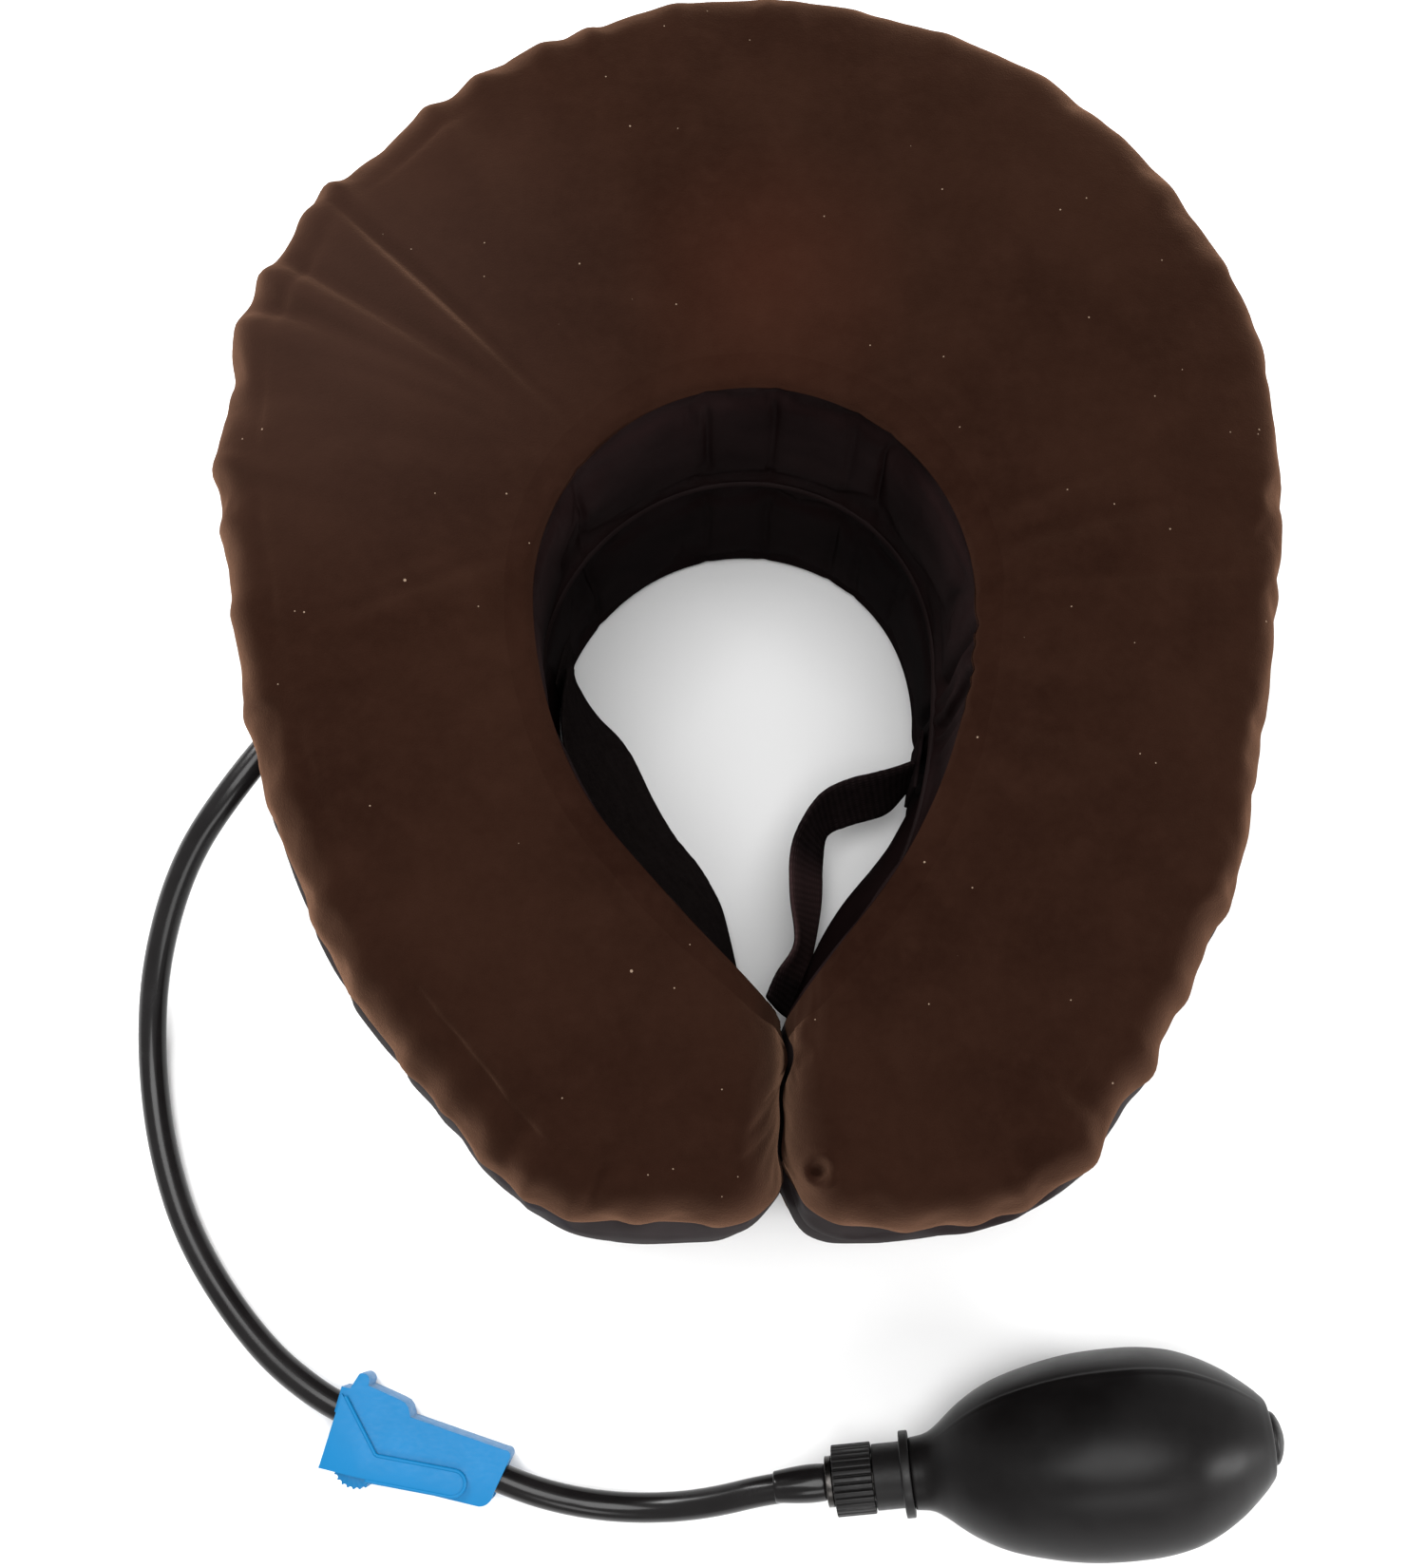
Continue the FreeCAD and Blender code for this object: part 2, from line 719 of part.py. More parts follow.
def make_clamp():
    body = new_body("clamp_body", CLAMP_PLACE)
    side = new_sketch(body, "clamp_side")
    draw(side, CLAMP_SIDE)
    slab(body, "Pad", "clamp_block", side, "clamp_width")
    boss = new_sketch(body, "clamp_boss")
    draw(boss, track_outline(BOSS_HALF_WIDTH, [(0.2, 8.6), (9.0, -9.1), (0.6, -9.7)]))
    slab(body, "Pad", "clamp_track_boss", boss, "clamp_boss_width")
    doc.recompute()
    block = body.Shape.Volume
    channel = new_sketch(body, "clamp_channel_outline")
    draw(channel, CLAMP_CHANNEL)
    slab(body, "Pocket", "clamp_channel", channel, "clamp_channel_width")
    groove = new_sketch(body, "clamp_groove_outline")
    draw(groove, track_outline(GROOVE_HALF_WIDTH, [(-2, 5.0), (-2, -9.4)]))
    slab(body, "Pocket", "clamp_groove", groove, "clamp_track_depth")
    doc.recompute()
    if body.Shape.Volume > block * 0.8:
        raise RuntimeError("the clamp's channel was not cut")
    keep(body, "clamp_body")

    place = Placement(frame_point(CLAMP_PLACE, TRACK_START.x, TRACK_START.y), Rotation())
    make_roller(place)
    axle = doc.addObject("Part::Cylinder", "roller_axle")
    bind(axle, "Radius", "axle_radius")
    bind(axle, "Height", "axle_length")
    axle.Placement.Base = place.Base - Vector(0, 0, size("axle_length") / 2)
    keep(axle, "roller_axle")


def make_roller(place):
    """The ribbed wheel that presses the hose: ribs are left between grooves cut round its rim."""
    body = new_body("clamp_roller", place)
    rim = new_sketch(body, "roller_rim")
    draw_circle(rim, 0, 0, "roller_radius")
    draw_circle(rim, 0, 0, "roller_bore")
    slab(body, "Pad", "roller_wheel", rim, "roller_width")
    groove = new_sketch(body, "roller_groove_outline")
    draw_circle(groove, size("roller_radius") + 0.1, 0, "roller_rib_depth")
    cut = slab(body, "Pocket", "roller_groove", groove, "roller_width * 2")
    doc.recompute()
    pattern_round(body, cut, "roller_ribs", "roller_rib_count", rim, "N_Axis")
    keep(body, "clamp_roller")


def pattern_round(body, item, name, count, sketch, axis):
    pattern = body.newObject("PartDesign::PolarPattern", name)
    pattern.Originals = [item]
    pattern.Axis = (sketch, [axis])
    pattern.Angle = 360
    bind(pattern, "Occurrences", count)
    body.Tip = pattern
    doc.recompute()


# ---------------------------------------------------------------- air release valve

# The bulb's own frame: X from the hose end to the tail. The profiles give (X, radius).
def make_valve():
    bore = 1.2
    shoulder, core = 6.0, 5.4
    nozzle = size("port_nozzle_radius")
    seal_floor = size("seal_ring_radius") - size("seal_wire_radius") - 0.05
    revolved(
        "valve_stem",
        [
            (-6.8, bore), (-6.8, nozzle), (-1.8, nozzle), (-1.8, shoulder), (-0.3, shoulder),
            (-0.3, core), (6.2, core), (6.2, seal_floor), (7.8, seal_floor), (7.8, core),
            (9.8, core), (9.8, bore),
        ],
    )
    ring = doc.addObject("Part::Torus", "stem_seal_ring")
    bind(ring, "Radius1", "seal_ring_radius")
    bind(ring, "Radius2", "seal_wire_radius")
    on_axis = Placement(Vector(7, 0, 0), Rotation(Vector(0, 1, 0), 90))
    ring.Placement = BULB_PLACE.multiply(on_axis)
    keep(ring, "stem_seal_ring")

    make_nut()
    disc_room = size("check_disc_radius") + 0.4
    revolved(
        "neck_fitting",
        [
            (9.8, bore), (9.8, 7.75), (16.6, 7.75), (16.6, 10.2), (18.8, 10.2), (18.8, 6.15),
            (28, 6.15), (28, 4.4), (24, 4.4), (24, disc_room), (20.5, disc_room), (20.5, bore),
        ],
    )
    revolved(
        "outlet_valve_seat",
        [(24, 2.0), (24, 4.4), (27.5, 4.4), (27.5, 2.0)],
    )
    make_disc("outlet_check_disc", "check_disc_radius", 22.7)


def make_disc(node, radius, x):
    disc = doc.addObject("Part::Cylinder", node)
    bind(disc, "Radius", radius)
    bind(disc, "Height", "check_disc_thickness")
    on_axis = Placement(Vector(x, 0, 0), Rotation(Vector(0, 1, 0), 90))
    disc.Placement = BULB_PLACE.multiply(on_axis)
    keep(disc, node)


def make_nut():
    """The knurled nut that opens and closes the vent, with straight grooves round its rim."""
    across = Placement(Vector(0.1 + size("nut_length") / 2, 0, 0), Rotation(Vector(0, 1, 0), 90))
    body = new_body("release_nut", BULB_PLACE.multiply(across))
    rim = new_sketch(body, "nut_rim")
    draw_circle(rim, 0, 0, "nut_radius")
    draw_circle(rim, 0, 0, "nut_bore")
    slab(body, "Pad", "nut_ring", rim, "nut_length")
    groove = new_sketch(body, "nut_groove_outline")
    edge, depth = size("nut_radius"), size("nut_groove_depth")
    draw(groove, [(edge + 1, -0.9), (edge + 1, 0.9), (edge - depth, 0)])
    cut = slab(body, "Pocket", "nut_groove", groove, "nut_length * 2")
    doc.recompute()
    pattern_round(body, cut, "nut_knurl", "nut_groove_count", rim, "N_Axis")
    keep(body, "release_nut")


# ---------------------------------------------------------------- hand bulb

def make_bulb():
    wall = size("bulb_wall")
    top = size("bulb_radius")
    revolved(
        "bulb_shell",
        [
            (18.9, 6.2), (18.9, 8.4), (22.5, 8.9), (44, 21.6, 32, 15.6), (70, top, 56.5, 24.9),
            (95, 17.6, 85, 23.2), (104.4, 8.2, 101.4, 12.2), (104.4, 4.3),
            (104.4 - wall, 4.3), (104.4 - wall, 6.6), (93.6, 15.7, 99.7, 10.6),
            (70, top - wall, 84, 21.1), (45, 19.6, 57, 22.7), (25.4, 8.4, 33.5, 14.0),
            (25.4, 6.2),
        ],
    )
    revolved(
        "intake_valve_cap",
        [
            (96.5, 3.4), (96.5, 4.3), (104.5, 4.3), (104.5, 6.0), (105.4, 6.0),
            (107.6, 1.1, 106.9, 3.9), (101.5, 1.1), (101.5, 3.4),
        ],
    )
    revolved(
        "intake_cage",
        [(96.6, 1.6), (96.6, 3.4), (98.2, 3.4), (98.2, 1.6)],
    )
    make_disc("intake_check_disc", "intake_disc_radius", 100.3)


# ---------------------------------------------------------------- build and export

make_collar()
make_seam()
make_straps()
make_port()
make_hose()
make_clamp()
make_valve()
make_bulb()
doc.recompute()

for item in doc.Objects:
    if "Invalid" in item.State or "Error" in item.State:
        raise RuntimeError("%s: %s" % (item.Label, item.State))
for part in PARTS:
    if part.Shape.isNull() or not part.Shape.isValid():
        raise RuntimeError(part.Label + " has no valid shape")

os.makedirs("parts", exist_ok=True)
for part in PARTS:
    part.Shape.exportStep("parts/%s.step" % part.Label)
print(len(PARTS), "sub-parts written")
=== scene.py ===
import cmath
import math
import random
from contextlib import contextmanager

import bmesh
import bpy
import numpy as np
from mathutils import Matrix, Vector


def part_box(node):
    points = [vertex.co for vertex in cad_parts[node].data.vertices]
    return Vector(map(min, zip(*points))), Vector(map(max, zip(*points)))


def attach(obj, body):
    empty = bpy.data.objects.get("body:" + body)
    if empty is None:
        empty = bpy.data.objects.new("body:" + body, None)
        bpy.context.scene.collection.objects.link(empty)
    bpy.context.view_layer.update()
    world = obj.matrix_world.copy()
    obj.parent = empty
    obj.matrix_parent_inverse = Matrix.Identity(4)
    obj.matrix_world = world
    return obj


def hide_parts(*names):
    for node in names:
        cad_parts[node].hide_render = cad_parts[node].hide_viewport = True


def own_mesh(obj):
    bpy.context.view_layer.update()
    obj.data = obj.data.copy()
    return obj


# Looks of the inflatable cervical traction collar, its hose, roller clamp and hand bulb.
# Outlines and profiles are in millimetres and meshes are made in metres.

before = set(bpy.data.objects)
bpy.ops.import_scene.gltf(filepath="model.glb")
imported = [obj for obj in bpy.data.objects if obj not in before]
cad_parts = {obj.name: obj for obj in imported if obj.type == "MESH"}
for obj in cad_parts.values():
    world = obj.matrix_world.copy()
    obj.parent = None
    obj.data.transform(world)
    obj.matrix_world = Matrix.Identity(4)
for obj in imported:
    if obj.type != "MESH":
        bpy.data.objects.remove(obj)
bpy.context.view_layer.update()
MM = 0.001
scene = bpy.context.scene


# -------- camera, floor and light

def make_camera():
    camera = bpy.data.objects.new("camera", bpy.data.cameras.new("camera"))
    scene.collection.objects.link(camera)
    camera.data.lens = 50
    camera.data.sensor_width = 36
    camera.location = (-0.0085, -0.135, 0.570)
    camera.rotation_euler = (math.radians(12), 0, 0)
    scene.camera = camera


def area_light(name, place, aim, size, power):
    light = bpy.data.objects.new(name, bpy.data.lights.new(name, "AREA"))
    scene.collection.objects.link(light)
    light.data.shape = "RECTANGLE"
    light.data.size, light.data.size_y = size
    light.data.energy = power
    light.location = place
    light.rotation_euler = (Vector(aim) - Vector(place)).to_track_quat("-Z", "Y").to_euler()


def make_stage():
    bpy.ops.mesh.primitive_plane_add(size=8, location=(0, 0, -0.0003))
    floor = bpy.context.object
    floor.name = "floor"
    white = Nodes("floor_white")
    white.set(Base_Color=(0.88, 0.88, 0.88), Roughness=0.7)
    floor.data.materials.append(white.material)
    world = bpy.data.worlds.new("studio")
    scene.world = world
    world.use_nodes = True
    background = world.node_tree.nodes["Background"]
    background.inputs["Color"].default_value = (1, 1, 1, 1)
    background.inputs["Strength"].default_value = 0.62
    area_light("top_light", (-0.05, -0.10, 1.5), (0, -0.03, 0), (0.9, 0.9), 20.0)
    area_light("key_light", (-0.44, 0.40, 0.46), (-0.06, 0.06, 0.12), (0.3, 0.3), 5.5)
    area_light("side_light", (1.1, -0.42, 0.42), (0.09, -0.18, 0.03), (0.34, 0.30), 9.0)
    area_light("front_light", (0.2, -1.1, 0.8), (0, -0.1, 0.05), (0.8, 0.4), 5.0)
    scene.view_settings.view_transform = "Standard"


# -------- materials

class Nodes:
    """A short way to build a material's node tree."""

    def __init__(self, name):
        self.material = bpy.data.materials.new(name)
        self.material.use_nodes = True
        self.tree = self.material.node_tree
        self.shader = self.tree.nodes["Principled BSDF"]
        self.place = self.tree.nodes.new("ShaderNodeTexCoord").outputs["Object"]

    def add(self, kind, **inputs):
        node = self.tree.nodes.new("ShaderNode" + kind)
        for key, value in inputs.items():
            self.put(node, key.replace("_", " "), value)
        return node

    def put(self, node, key, value):
        socket = node.inputs[int(key)] if key.isdigit() else node.inputs[key]
        if isinstance(value, bpy.types.NodeSocket):
            self.tree.links.new(value, socket)
        elif isinstance(value, tuple) and len(value) == 3 and socket.type == "RGBA":
            socket.default_value = (*value, 1)
        else:
            socket.default_value = value

    def set(self, **inputs):
        for key, value in inputs.items():
            self.put(self.shader, key.replace("_", " "), value)

    def noise(self, scale, detail=3.0, roughness=0.5, place=None):
        return self.add(
            "TexNoise", Vector=place or self.place, Scale=scale, Detail=detail, Roughness=roughness
        ).outputs["Fac"]

    def stretched(self, scale, turn=(0, 0, 0)):
        """The texture place, scaled by different amounts along its axes."""
        node = self.add("Mapping", Vector=self.place)
        node.inputs["Scale"].default_value = scale
        node.inputs["Rotation"].default_value = turn
        return node.outputs["Vector"]

    def ramp(self, value, low, high, steps=(0.0, 1.0)):
        """Colour from low to high as the value goes between two steps."""
        node = self.add("ValToRGB", Fac=value)
        for end, colour, step in zip(node.color_ramp.elements, (low, high), steps):
            end.color = (*colour, 1) if isinstance(colour, tuple) else (colour,) * 3 + (1,)
            end.position = step
        return node.outputs["Color"]

    def math(self, what, a, b=0.0):
        node = self.add("Math")
        node.operation = what
        self.put(node, "0", a)
        self.put(node, "1", b)
        return node.outputs["Value"]

    def mix(self, share, a, b):
        node = self.add("Mix")
        node.data_type = "RGBA"
        self.put(node, "0", share)
        for index, value in ((6, a), (7, b)):
            self.put(node, str(index), value)
        return node.outputs[2]

    def bump(self, height, strength, distance, under=None):
        node = self.add("Bump", Height=height, Strength=strength, Distance=distance)
        if under is not None:
            self.put(node, "Normal", under)
        return node.outputs["Normal"]


def velvet_material(name, sheen):
    """Short brown pile: mottled nap, a warm sheen at grazing angles and a few specks of lint."""
    m = Nodes(name)
    nap = m.noise(28, 4)
    fine = m.noise(420, 3)
    colour = m.ramp(nap, (0.0090, 0.0033, 0.0021), (0.0140, 0.0056, 0.0035), (0.36, 0.66))
    blotches = m.ramp(m.noise(110, 3, 0.6), 0.0, 0.35, (0.5, 0.7))
    colour = m.mix(blotches, colour, (0.0165, 0.0068, 0.0044))
    # Painted sheen: the colour is lighter wherever the surface slopes away from facing up, on the rim
    # and on the fold slopes.
    facing = m.add("SeparateXYZ", Vector=m.add("NewGeometry").outputs["Normal"])
    painted_sheen = m.ramp(facing.outputs["Z"], 0.6, 0.0, (0.3, 0.82))
    colour = m.mix(painted_sheen, colour, (0.030, 0.0142, 0.0096))
    colour = m.mix(m.math("MULTIPLY", fine, 0.3), colour, (0.0235, 0.0110, 0.0071))
    # Two round lighter patches on the top: a red-brown patch at the back, and painted light at the
    # upper left, where the key lamp falls.
    for spot, share, steps, tint in (
        ((0.004, 0.074, 0.125), 0.26, (0.002, 0.034), (0.046, 0.0145, 0.0085)),
        ((-0.092, 0.066, 0.125), 0.55, (0.012, 0.075), (0.026, 0.0135, 0.0100)),
    ):
        away = m.add("VectorMath", Vector=m.place)
        away.operation = "DISTANCE"
        away.inputs[1].default_value = spot
        colour = m.mix(m.ramp(away.outputs["Value"], share, 0.0, steps), colour, tint)
    flat = m.stretched((1, 1, 0))
    lint = 0.0
    for scale, reach, share in ((82.0, 0.026, 0.90), (190.0, 0.040, 0.86), (310.0, 0.05, 0.90)):
        cells = m.add("TexVoronoi", Vector=flat, Scale=scale)
        near = m.math("LESS_THAN", cells.outputs["Distance"], reach)
        pick = m.add("SeparateColor", Color=cells.outputs["Color"]).outputs[0]
        lint = m.math("ADD", m.math("MULTIPLY", near, m.math("GREATER_THAN", pick, share)), lint)
    colour = m.mix(m.math("MULTIPLY", lint, 0.55), colour, (0.30, 0.22, 0.16))
    pile = m.noise(2400, 2, 0.6)
    brushed = m.noise(150, 4, 0.6, m.stretched((1, 2.2, 1), (0, 0, 0.5)))
    normal = m.bump(brushed, 0.25, 0.0006)
    normal = m.bump(pile, 0.55, 0.00022, normal)
    m.set(
        Base_Color=colour, Roughness=0.95, Specular_IOR_Level=0.0, Sheen_Weight=sheen,
        Sheen_Roughness=0.42, Sheen_Tint=(0.60, 0.33, 0.21), Normal=normal,
    )
    return m.material


def nylon_material(name, dark, light, roughness, gloss):
    """Satin nylon: a fine plain weave under a soft gloss, with streaks along its wrinkles."""
    m = Nodes(name)
    tone = m.noise(45, 4)
    colour = m.ramp(tone, dark, light, (0.3, 0.7))
    if name == "lining_nylon":
        # Painted shade: the lining below the middle seam, where the upper tier shades it, is made
        # much darker.
        height = m.add("SeparateXYZ", Vector=m.place).outputs["Z"]
        colour = m.mix(m.ramp(height, 0.4, 0.0, (0.0612, 0.0628)), colour, (0.0012, 0.0009, 0.0010))
    slanted = m.stretched((1, 1, 1), (0.6, 0.6, 0.3))
    warp = m.add("TexWave", Vector=slanted, Scale=520.0, Distortion=0.6)
    weft = m.add("TexWave", Vector=m.place, Scale=520.0, Distortion=0.6)
    weft.bands_direction = "Z"
    weave = m.math("ADD", warp.outputs["Fac"], weft.outputs["Fac"])
    crumple = m.noise(130, 5, 0.62, m.stretched((1, 1, 0.45)))
    normal = m.bump(crumple, 0.35, 0.0009)
    normal = m.bump(weave, 0.18, 0.00008, normal)
    rough = m.ramp(m.noise(90, 3), roughness - 0.06, roughness + 0.1, (0.3, 0.7))
    m.set(
        Base_Color=colour, Roughness=rough, Specular_IOR_Level=0.0, Coat_Weight=gloss,
        Coat_Roughness=0.3, Normal=normal,
    )
    return m.material


def webbing_material(name, dark, light, fuzz, turned=None):
    """Strap fabric on a strap's own coordinates: metres across and along it."""
    m = Nodes(name)
    flat = m.add("UVMap").outputs["UV"]
    ribs = m.add("TexWave", Vector=flat, Scale=260.0, Distortion=1.2, Detail=2.0)
    ribs.inputs["Detail Scale"].default_value = 3.0
    cross = m.add("TexWave", Vector=flat, Scale=190.0, Distortion=0.8)
    cross.bands_direction = "Y"
    loops = m.noise(1500, 4, 0.75)
    clumps = m.noise(260, 4, 0.6)
    woven = m.math("MULTIPLY", ribs.outputs["Fac"], cross.outputs["Fac"])
    height = m.math("ADD", m.math("MULTIPLY", woven, 1 - fuzz), m.math("MULTIPLY", loops, fuzz))
    normal = m.bump(clumps, 0.3 * fuzz + 0.05, 0.0012)
    normal = m.bump(height, 0.7, 0.0004, normal)
    colour = m.ramp(m.math("MULTIPLY", m.math("ADD", height, clumps), 0.6), dark, light, (0.25, 0.8))
    if turned:
        along = m.add("SeparateXYZ", Vector=flat).outputs["Y"]
        smooth_part = m.math("MULTIPLY", m.ramp(along, 0.0, 1.0, (0.036, 0.042)),
                             m.ramp(along, 1.0, 0.0, (0.064, 0.070)))
        colour = m.mix(smooth_part, colour, m.mix(woven, turned, tuple(c * 1.5 for c in turned)))
    m.set(
        Base_Color=colour, Roughness=0.95, Specular_IOR_Level=0.0, Sheen_Weight=0.012,
        Sheen_Roughness=0.4, Sheen_Tint=(0.5, 0.4, 0.4), Normal=normal,
    )
    return m.material


def rubber_material(name, colour, roughness, grain, coat=0.0, shine=0.45):
    """Moulded rubber: dust and handling marks in its gloss, and a fine grain."""
    m = Nodes(name)
    marks = m.noise(38, 5, 0.6)
    light = tuple(min(1.0, c * 1.45 + 0.002) for c in colour)
    rough = m.ramp(marks, roughness - 0.06, roughness + 0.1, (0.32, 0.7))
    skin = m.noise(1600, 3, 0.6)
    normal = m.bump(m.noise(60, 2), 0.06, 0.001)
    normal = m.bump(skin, grain, 0.00008, normal)
    m.set(
        Base_Color=m.ramp(marks, colour, light, (0.35, 0.75)), Roughness=rough,
        Specular_IOR_Level=shine, Coat_Weight=coat, Coat_Roughness=0.12, Normal=normal,
    )
    return m.material


def plastic_material(name, colour, roughness, shine):
    """Injection-moulded plastic: slight flow marks and a satin skin with fine scratches."""
    m = Nodes(name)
    flow = m.noise(70, 3, 0.55, m.stretched((1, 1, 2.5)))
    light = tuple(min(1.0, c * 1.06 + 0.001) for c in colour)
    scratches = m.noise(1100, 3, 0.7, m.stretched((0.5, 1, 1), (0, 0, 0.4)))
    normal = m.bump(m.noise(2200, 2), 0.12, 0.00005)
    normal = m.bump(scratches, 0.1, 0.00006, normal)
    m.set(
        Base_Color=m.ramp(flow, colour, light, (0.35, 0.65)),
        Roughness=m.ramp(scratches, roughness - 0.05, roughness + 0.1, (0.35, 0.7)),
        Specular_IOR_Level=shine, Normal=normal,
    )
    return m.material


def metal_material(name, colour):
    m = Nodes(name)
    turning = m.noise(700, 3, 0.6, m.stretched((6, 1, 1)))
    m.set(Base_Color=colour, Metallic=1.0,
          Roughness=m.ramp(turning, 0.22, 0.42, (0.35, 0.7)), Normal=m.bump(turning, 0.15, 0.0001))
    return m.material


# -------- meshes

def link(name, mesh, material):
    piece = bpy.data.objects.new(name, mesh)
    scene.collection.objects.link(piece)
    piece.data.materials.append(material)
    return piece


def grid_mesh(name, points, closed=False, uv=None):
    """A mesh from a grid of points in millimetres; closed joins its last row to its first."""
    rows, columns = points.shape[:2]
    index = np.arange(rows * columns).reshape(rows, columns)
    if closed:
        index = np.vstack([index, index[:1]])
    faces = np.stack(
        [index[:-1, :-1], index[1:, :-1], index[1:, 1:], index[:-1, 1:]], axis=-1
    ).reshape(-1, 4)
    mesh = bpy.data.meshes.new(name)
    mesh.from_pydata((points.reshape(-1, 3) * MM).tolist(), [], faces.tolist())
    if uv is not None:
        layer = mesh.uv_layers.new(name="UVMap")
        corners = np.zeros(len(mesh.loops), np.int32)
        mesh.loops.foreach_get("vertex_index", corners)
        layer.data.foreach_set("uv", uv.reshape(-1, 2)[corners].astype(np.float32).ravel())
    return mesh


@contextmanager
def edited(mesh):
    """Opens a mesh for editing and writes it back at the end."""
    work = bmesh.new()
    work.from_mesh(mesh)
    yield work
    work.to_mesh(mesh)
    work.free()


def sealed(mesh):
    """Fills a mesh's open ends and turns its faces outwards."""
    with edited(mesh) as work:
        bmesh.ops.holes_fill(work, edges=[e for e in work.edges if e.is_boundary], sides=0)
        bmesh.ops.recalc_face_normals(work, faces=work.faces)
    return mesh


def smooth(piece, levels=0, angle=None):
    """Subdivides a piece and shades it smooth, or smooth below an angle in degrees."""
    if levels:
        modifier = piece.modifiers.new("subdivision", "SUBSURF")
        modifier.levels = modifier.render_levels = levels
        apply_modifiers(piece)
    piece.data.polygons.foreach_set("use_smooth", [True] * len(piece.data.polygons))
    if angle is not None:
        piece.data.set_sharp_from_angle(angle=math.radians(angle))
    return piece


def apply_modifiers(piece):
    graph = bpy.context.evaluated_depsgraph_get()
    mesh = bpy.data.meshes.new_from_object(piece.evaluated_get(graph))
    piece.modifiers.clear()
    old = piece.data
    piece.data = mesh
    if not old.users:
        bpy.data.meshes.remove(old)


def finish_piece(piece, body, slot, *nodes):
    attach(piece, body)
    if nodes:
        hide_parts(*nodes)


def deflate(piece):
    """Gives a soft piece its own copy of its mesh."""
    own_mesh(piece)


# Edges of a copied node that turn by more than this angle, in degrees, are rounded.
SHARP = 30


def from_node(node, name, material, bevel=0.0, reshape=None):
    """A finer copy of a CAD node: its flat faces are merged and its edges are rounded."""
    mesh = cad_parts[node].data.copy()
    mesh.materials.clear()
    with edited(mesh) as work:
        bmesh.ops.remove_doubles(work, verts=work.verts, dist=2e-6)
        bmesh.ops.dissolve_limit(
            work, angle_limit=math.radians(0.6), verts=work.verts, edges=work.edges
        )
        if reshape:
            reshape(work)
    for layer in list(mesh.attributes):
        if layer.name in ("custom_normal", "sharp_edge", "sharp_face"):
            mesh.attributes.remove(layer)
    piece = link(name, mesh, material)
    if bevel:
        modifier = piece.modifiers.new("bevel", "BEVEL")
        modifier.width = bevel * MM
        modifier.segments = 3
        modifier.limit_method = "ANGLE"
        modifier.angle_limit = math.radians(SHARP)
        modifier.harden_normals = False
        apply_modifiers(piece)
    return smooth(piece, 0, SHARP)


def turned_piece(name, profile, place, material, around, shape):
    """A surface turned about X from (x, radius) points, then placed. shape bends its points."""
    angles = np.linspace(0, 2 * math.pi, around, endpoint=False)
    x = np.array([p[0] for p in profile])[None, :]
    r = np.array([p[1] for p in profile])[None, :]
    a = angles[:, None]
    if shape:
        r = shape(x, r, a)
    points = np.stack([x + 0 * a, r * np.cos(a), r * np.sin(a)], -1)
    mesh = grid_mesh(name, points, closed=True)
    with edited(mesh) as work:
        bmesh.ops.remove_doubles(work, verts=work.verts, dist=1e-6)
        bmesh.ops.recalc_face_normals(work, faces=work.faces)
    mesh.transform(place)
    return link(name, mesh, material)


def tube(name, line, radius, material, sides):
    """A round cord with closed ends along points in millimetres. No stretch may stand upright."""
    line = np.asarray(line, float)
    along = np.gradient(line, axis=0)
    along /= np.linalg.norm(along, axis=1)[:, None]
    side = np.cross(along, (0, 0, 1.0))
    side /= np.linalg.norm(side, axis=1)[:, None]
    top = np.cross(side, along)
    a = np.linspace(0, 2 * math.pi, sides, endpoint=False)
    ring = line[:, None] + radius * (
        np.cos(a)[None, :, None] * side[:, None] + np.sin(a)[None, :, None] * top[:, None]
    )
    return link(name, sealed(grid_mesh(name, np.swapaxes(ring, 0, 1), closed=True)), material)


# -------- hose

NOZZLE_DIRECTION = Vector((-0.62, -0.785, 0)).normalized()
CLAMP_PLACE = Matrix.Translation((-0.1025, -0.1784, 0.0074)) @ Matrix.Rotation(
    math.radians(-17.6), 4, "Z"
)
BULB_PLACE = (
    Matrix.Translation((0.021, -0.1905, 0.01895))
    @ Matrix.Rotation(math.radians(6), 4, "Z")
    @ Matrix.Rotation(math.radians(-6), 4, "Y")
)
HOSE_RADIUS = 3.6
# The hose's route, from the port on the collar, through the clamp, to the valve on the bulb.
HOSE_ROUTE = [
    (-0.1210, -0.0098, 0.0310), (-0.1297, -0.0208, 0.0310), (-0.1434, -0.0390, 0.0230),
    (-0.1522, -0.0630, 0.0115), (-0.1538, -0.0870, 0.0044), (-0.1496, -0.1120, 0.0038),
    (-0.1406, -0.1355, 0.0038), (-0.1225, -0.1595, 0.0056), (-0.1057, -0.1722, 0.0074),
    (-0.0937, -0.1772, 0.0074), (-0.0609, -0.1911, 0.0074), (-0.0489, -0.1953, 0.0066),
    (-0.0355, -0.1979, 0.0050), (-0.0215, -0.1982, 0.0062), (-0.0085, -0.1964, 0.0108),
    (0.0064, -0.1922, 0.0168), (0.0192, -0.1907, 0.0188),
]


def make_hose(material):
    curve = bpy.data.curves.new("air_hose", "CURVE")
    curve.dimensions = "3D"
    line = curve.splines.new("NURBS")
    line.points.add(len(HOSE_ROUTE) - 1)
    for point, place in zip(line.points, HOSE_ROUTE):
        point.co = (*place, 1)
    line.order_u = 3
    line.use_endpoint_u = True
    line.resolution_u = 14
    curve.bevel_depth = HOSE_RADIUS * MM
    curve.bevel_resolution = 8
    curve.use_fill_caps = True
    hose = bpy.data.objects.new("air_hose", curve)
    scene.collection.objects.link(hose)
    curve.materials.append(material)
    finish_piece(
        hose, "collar_base", "hose_rubber", "hose_collar_run", "hose_in_clamp", "hose_bulb_run"
    )


# -------- the collar's shape

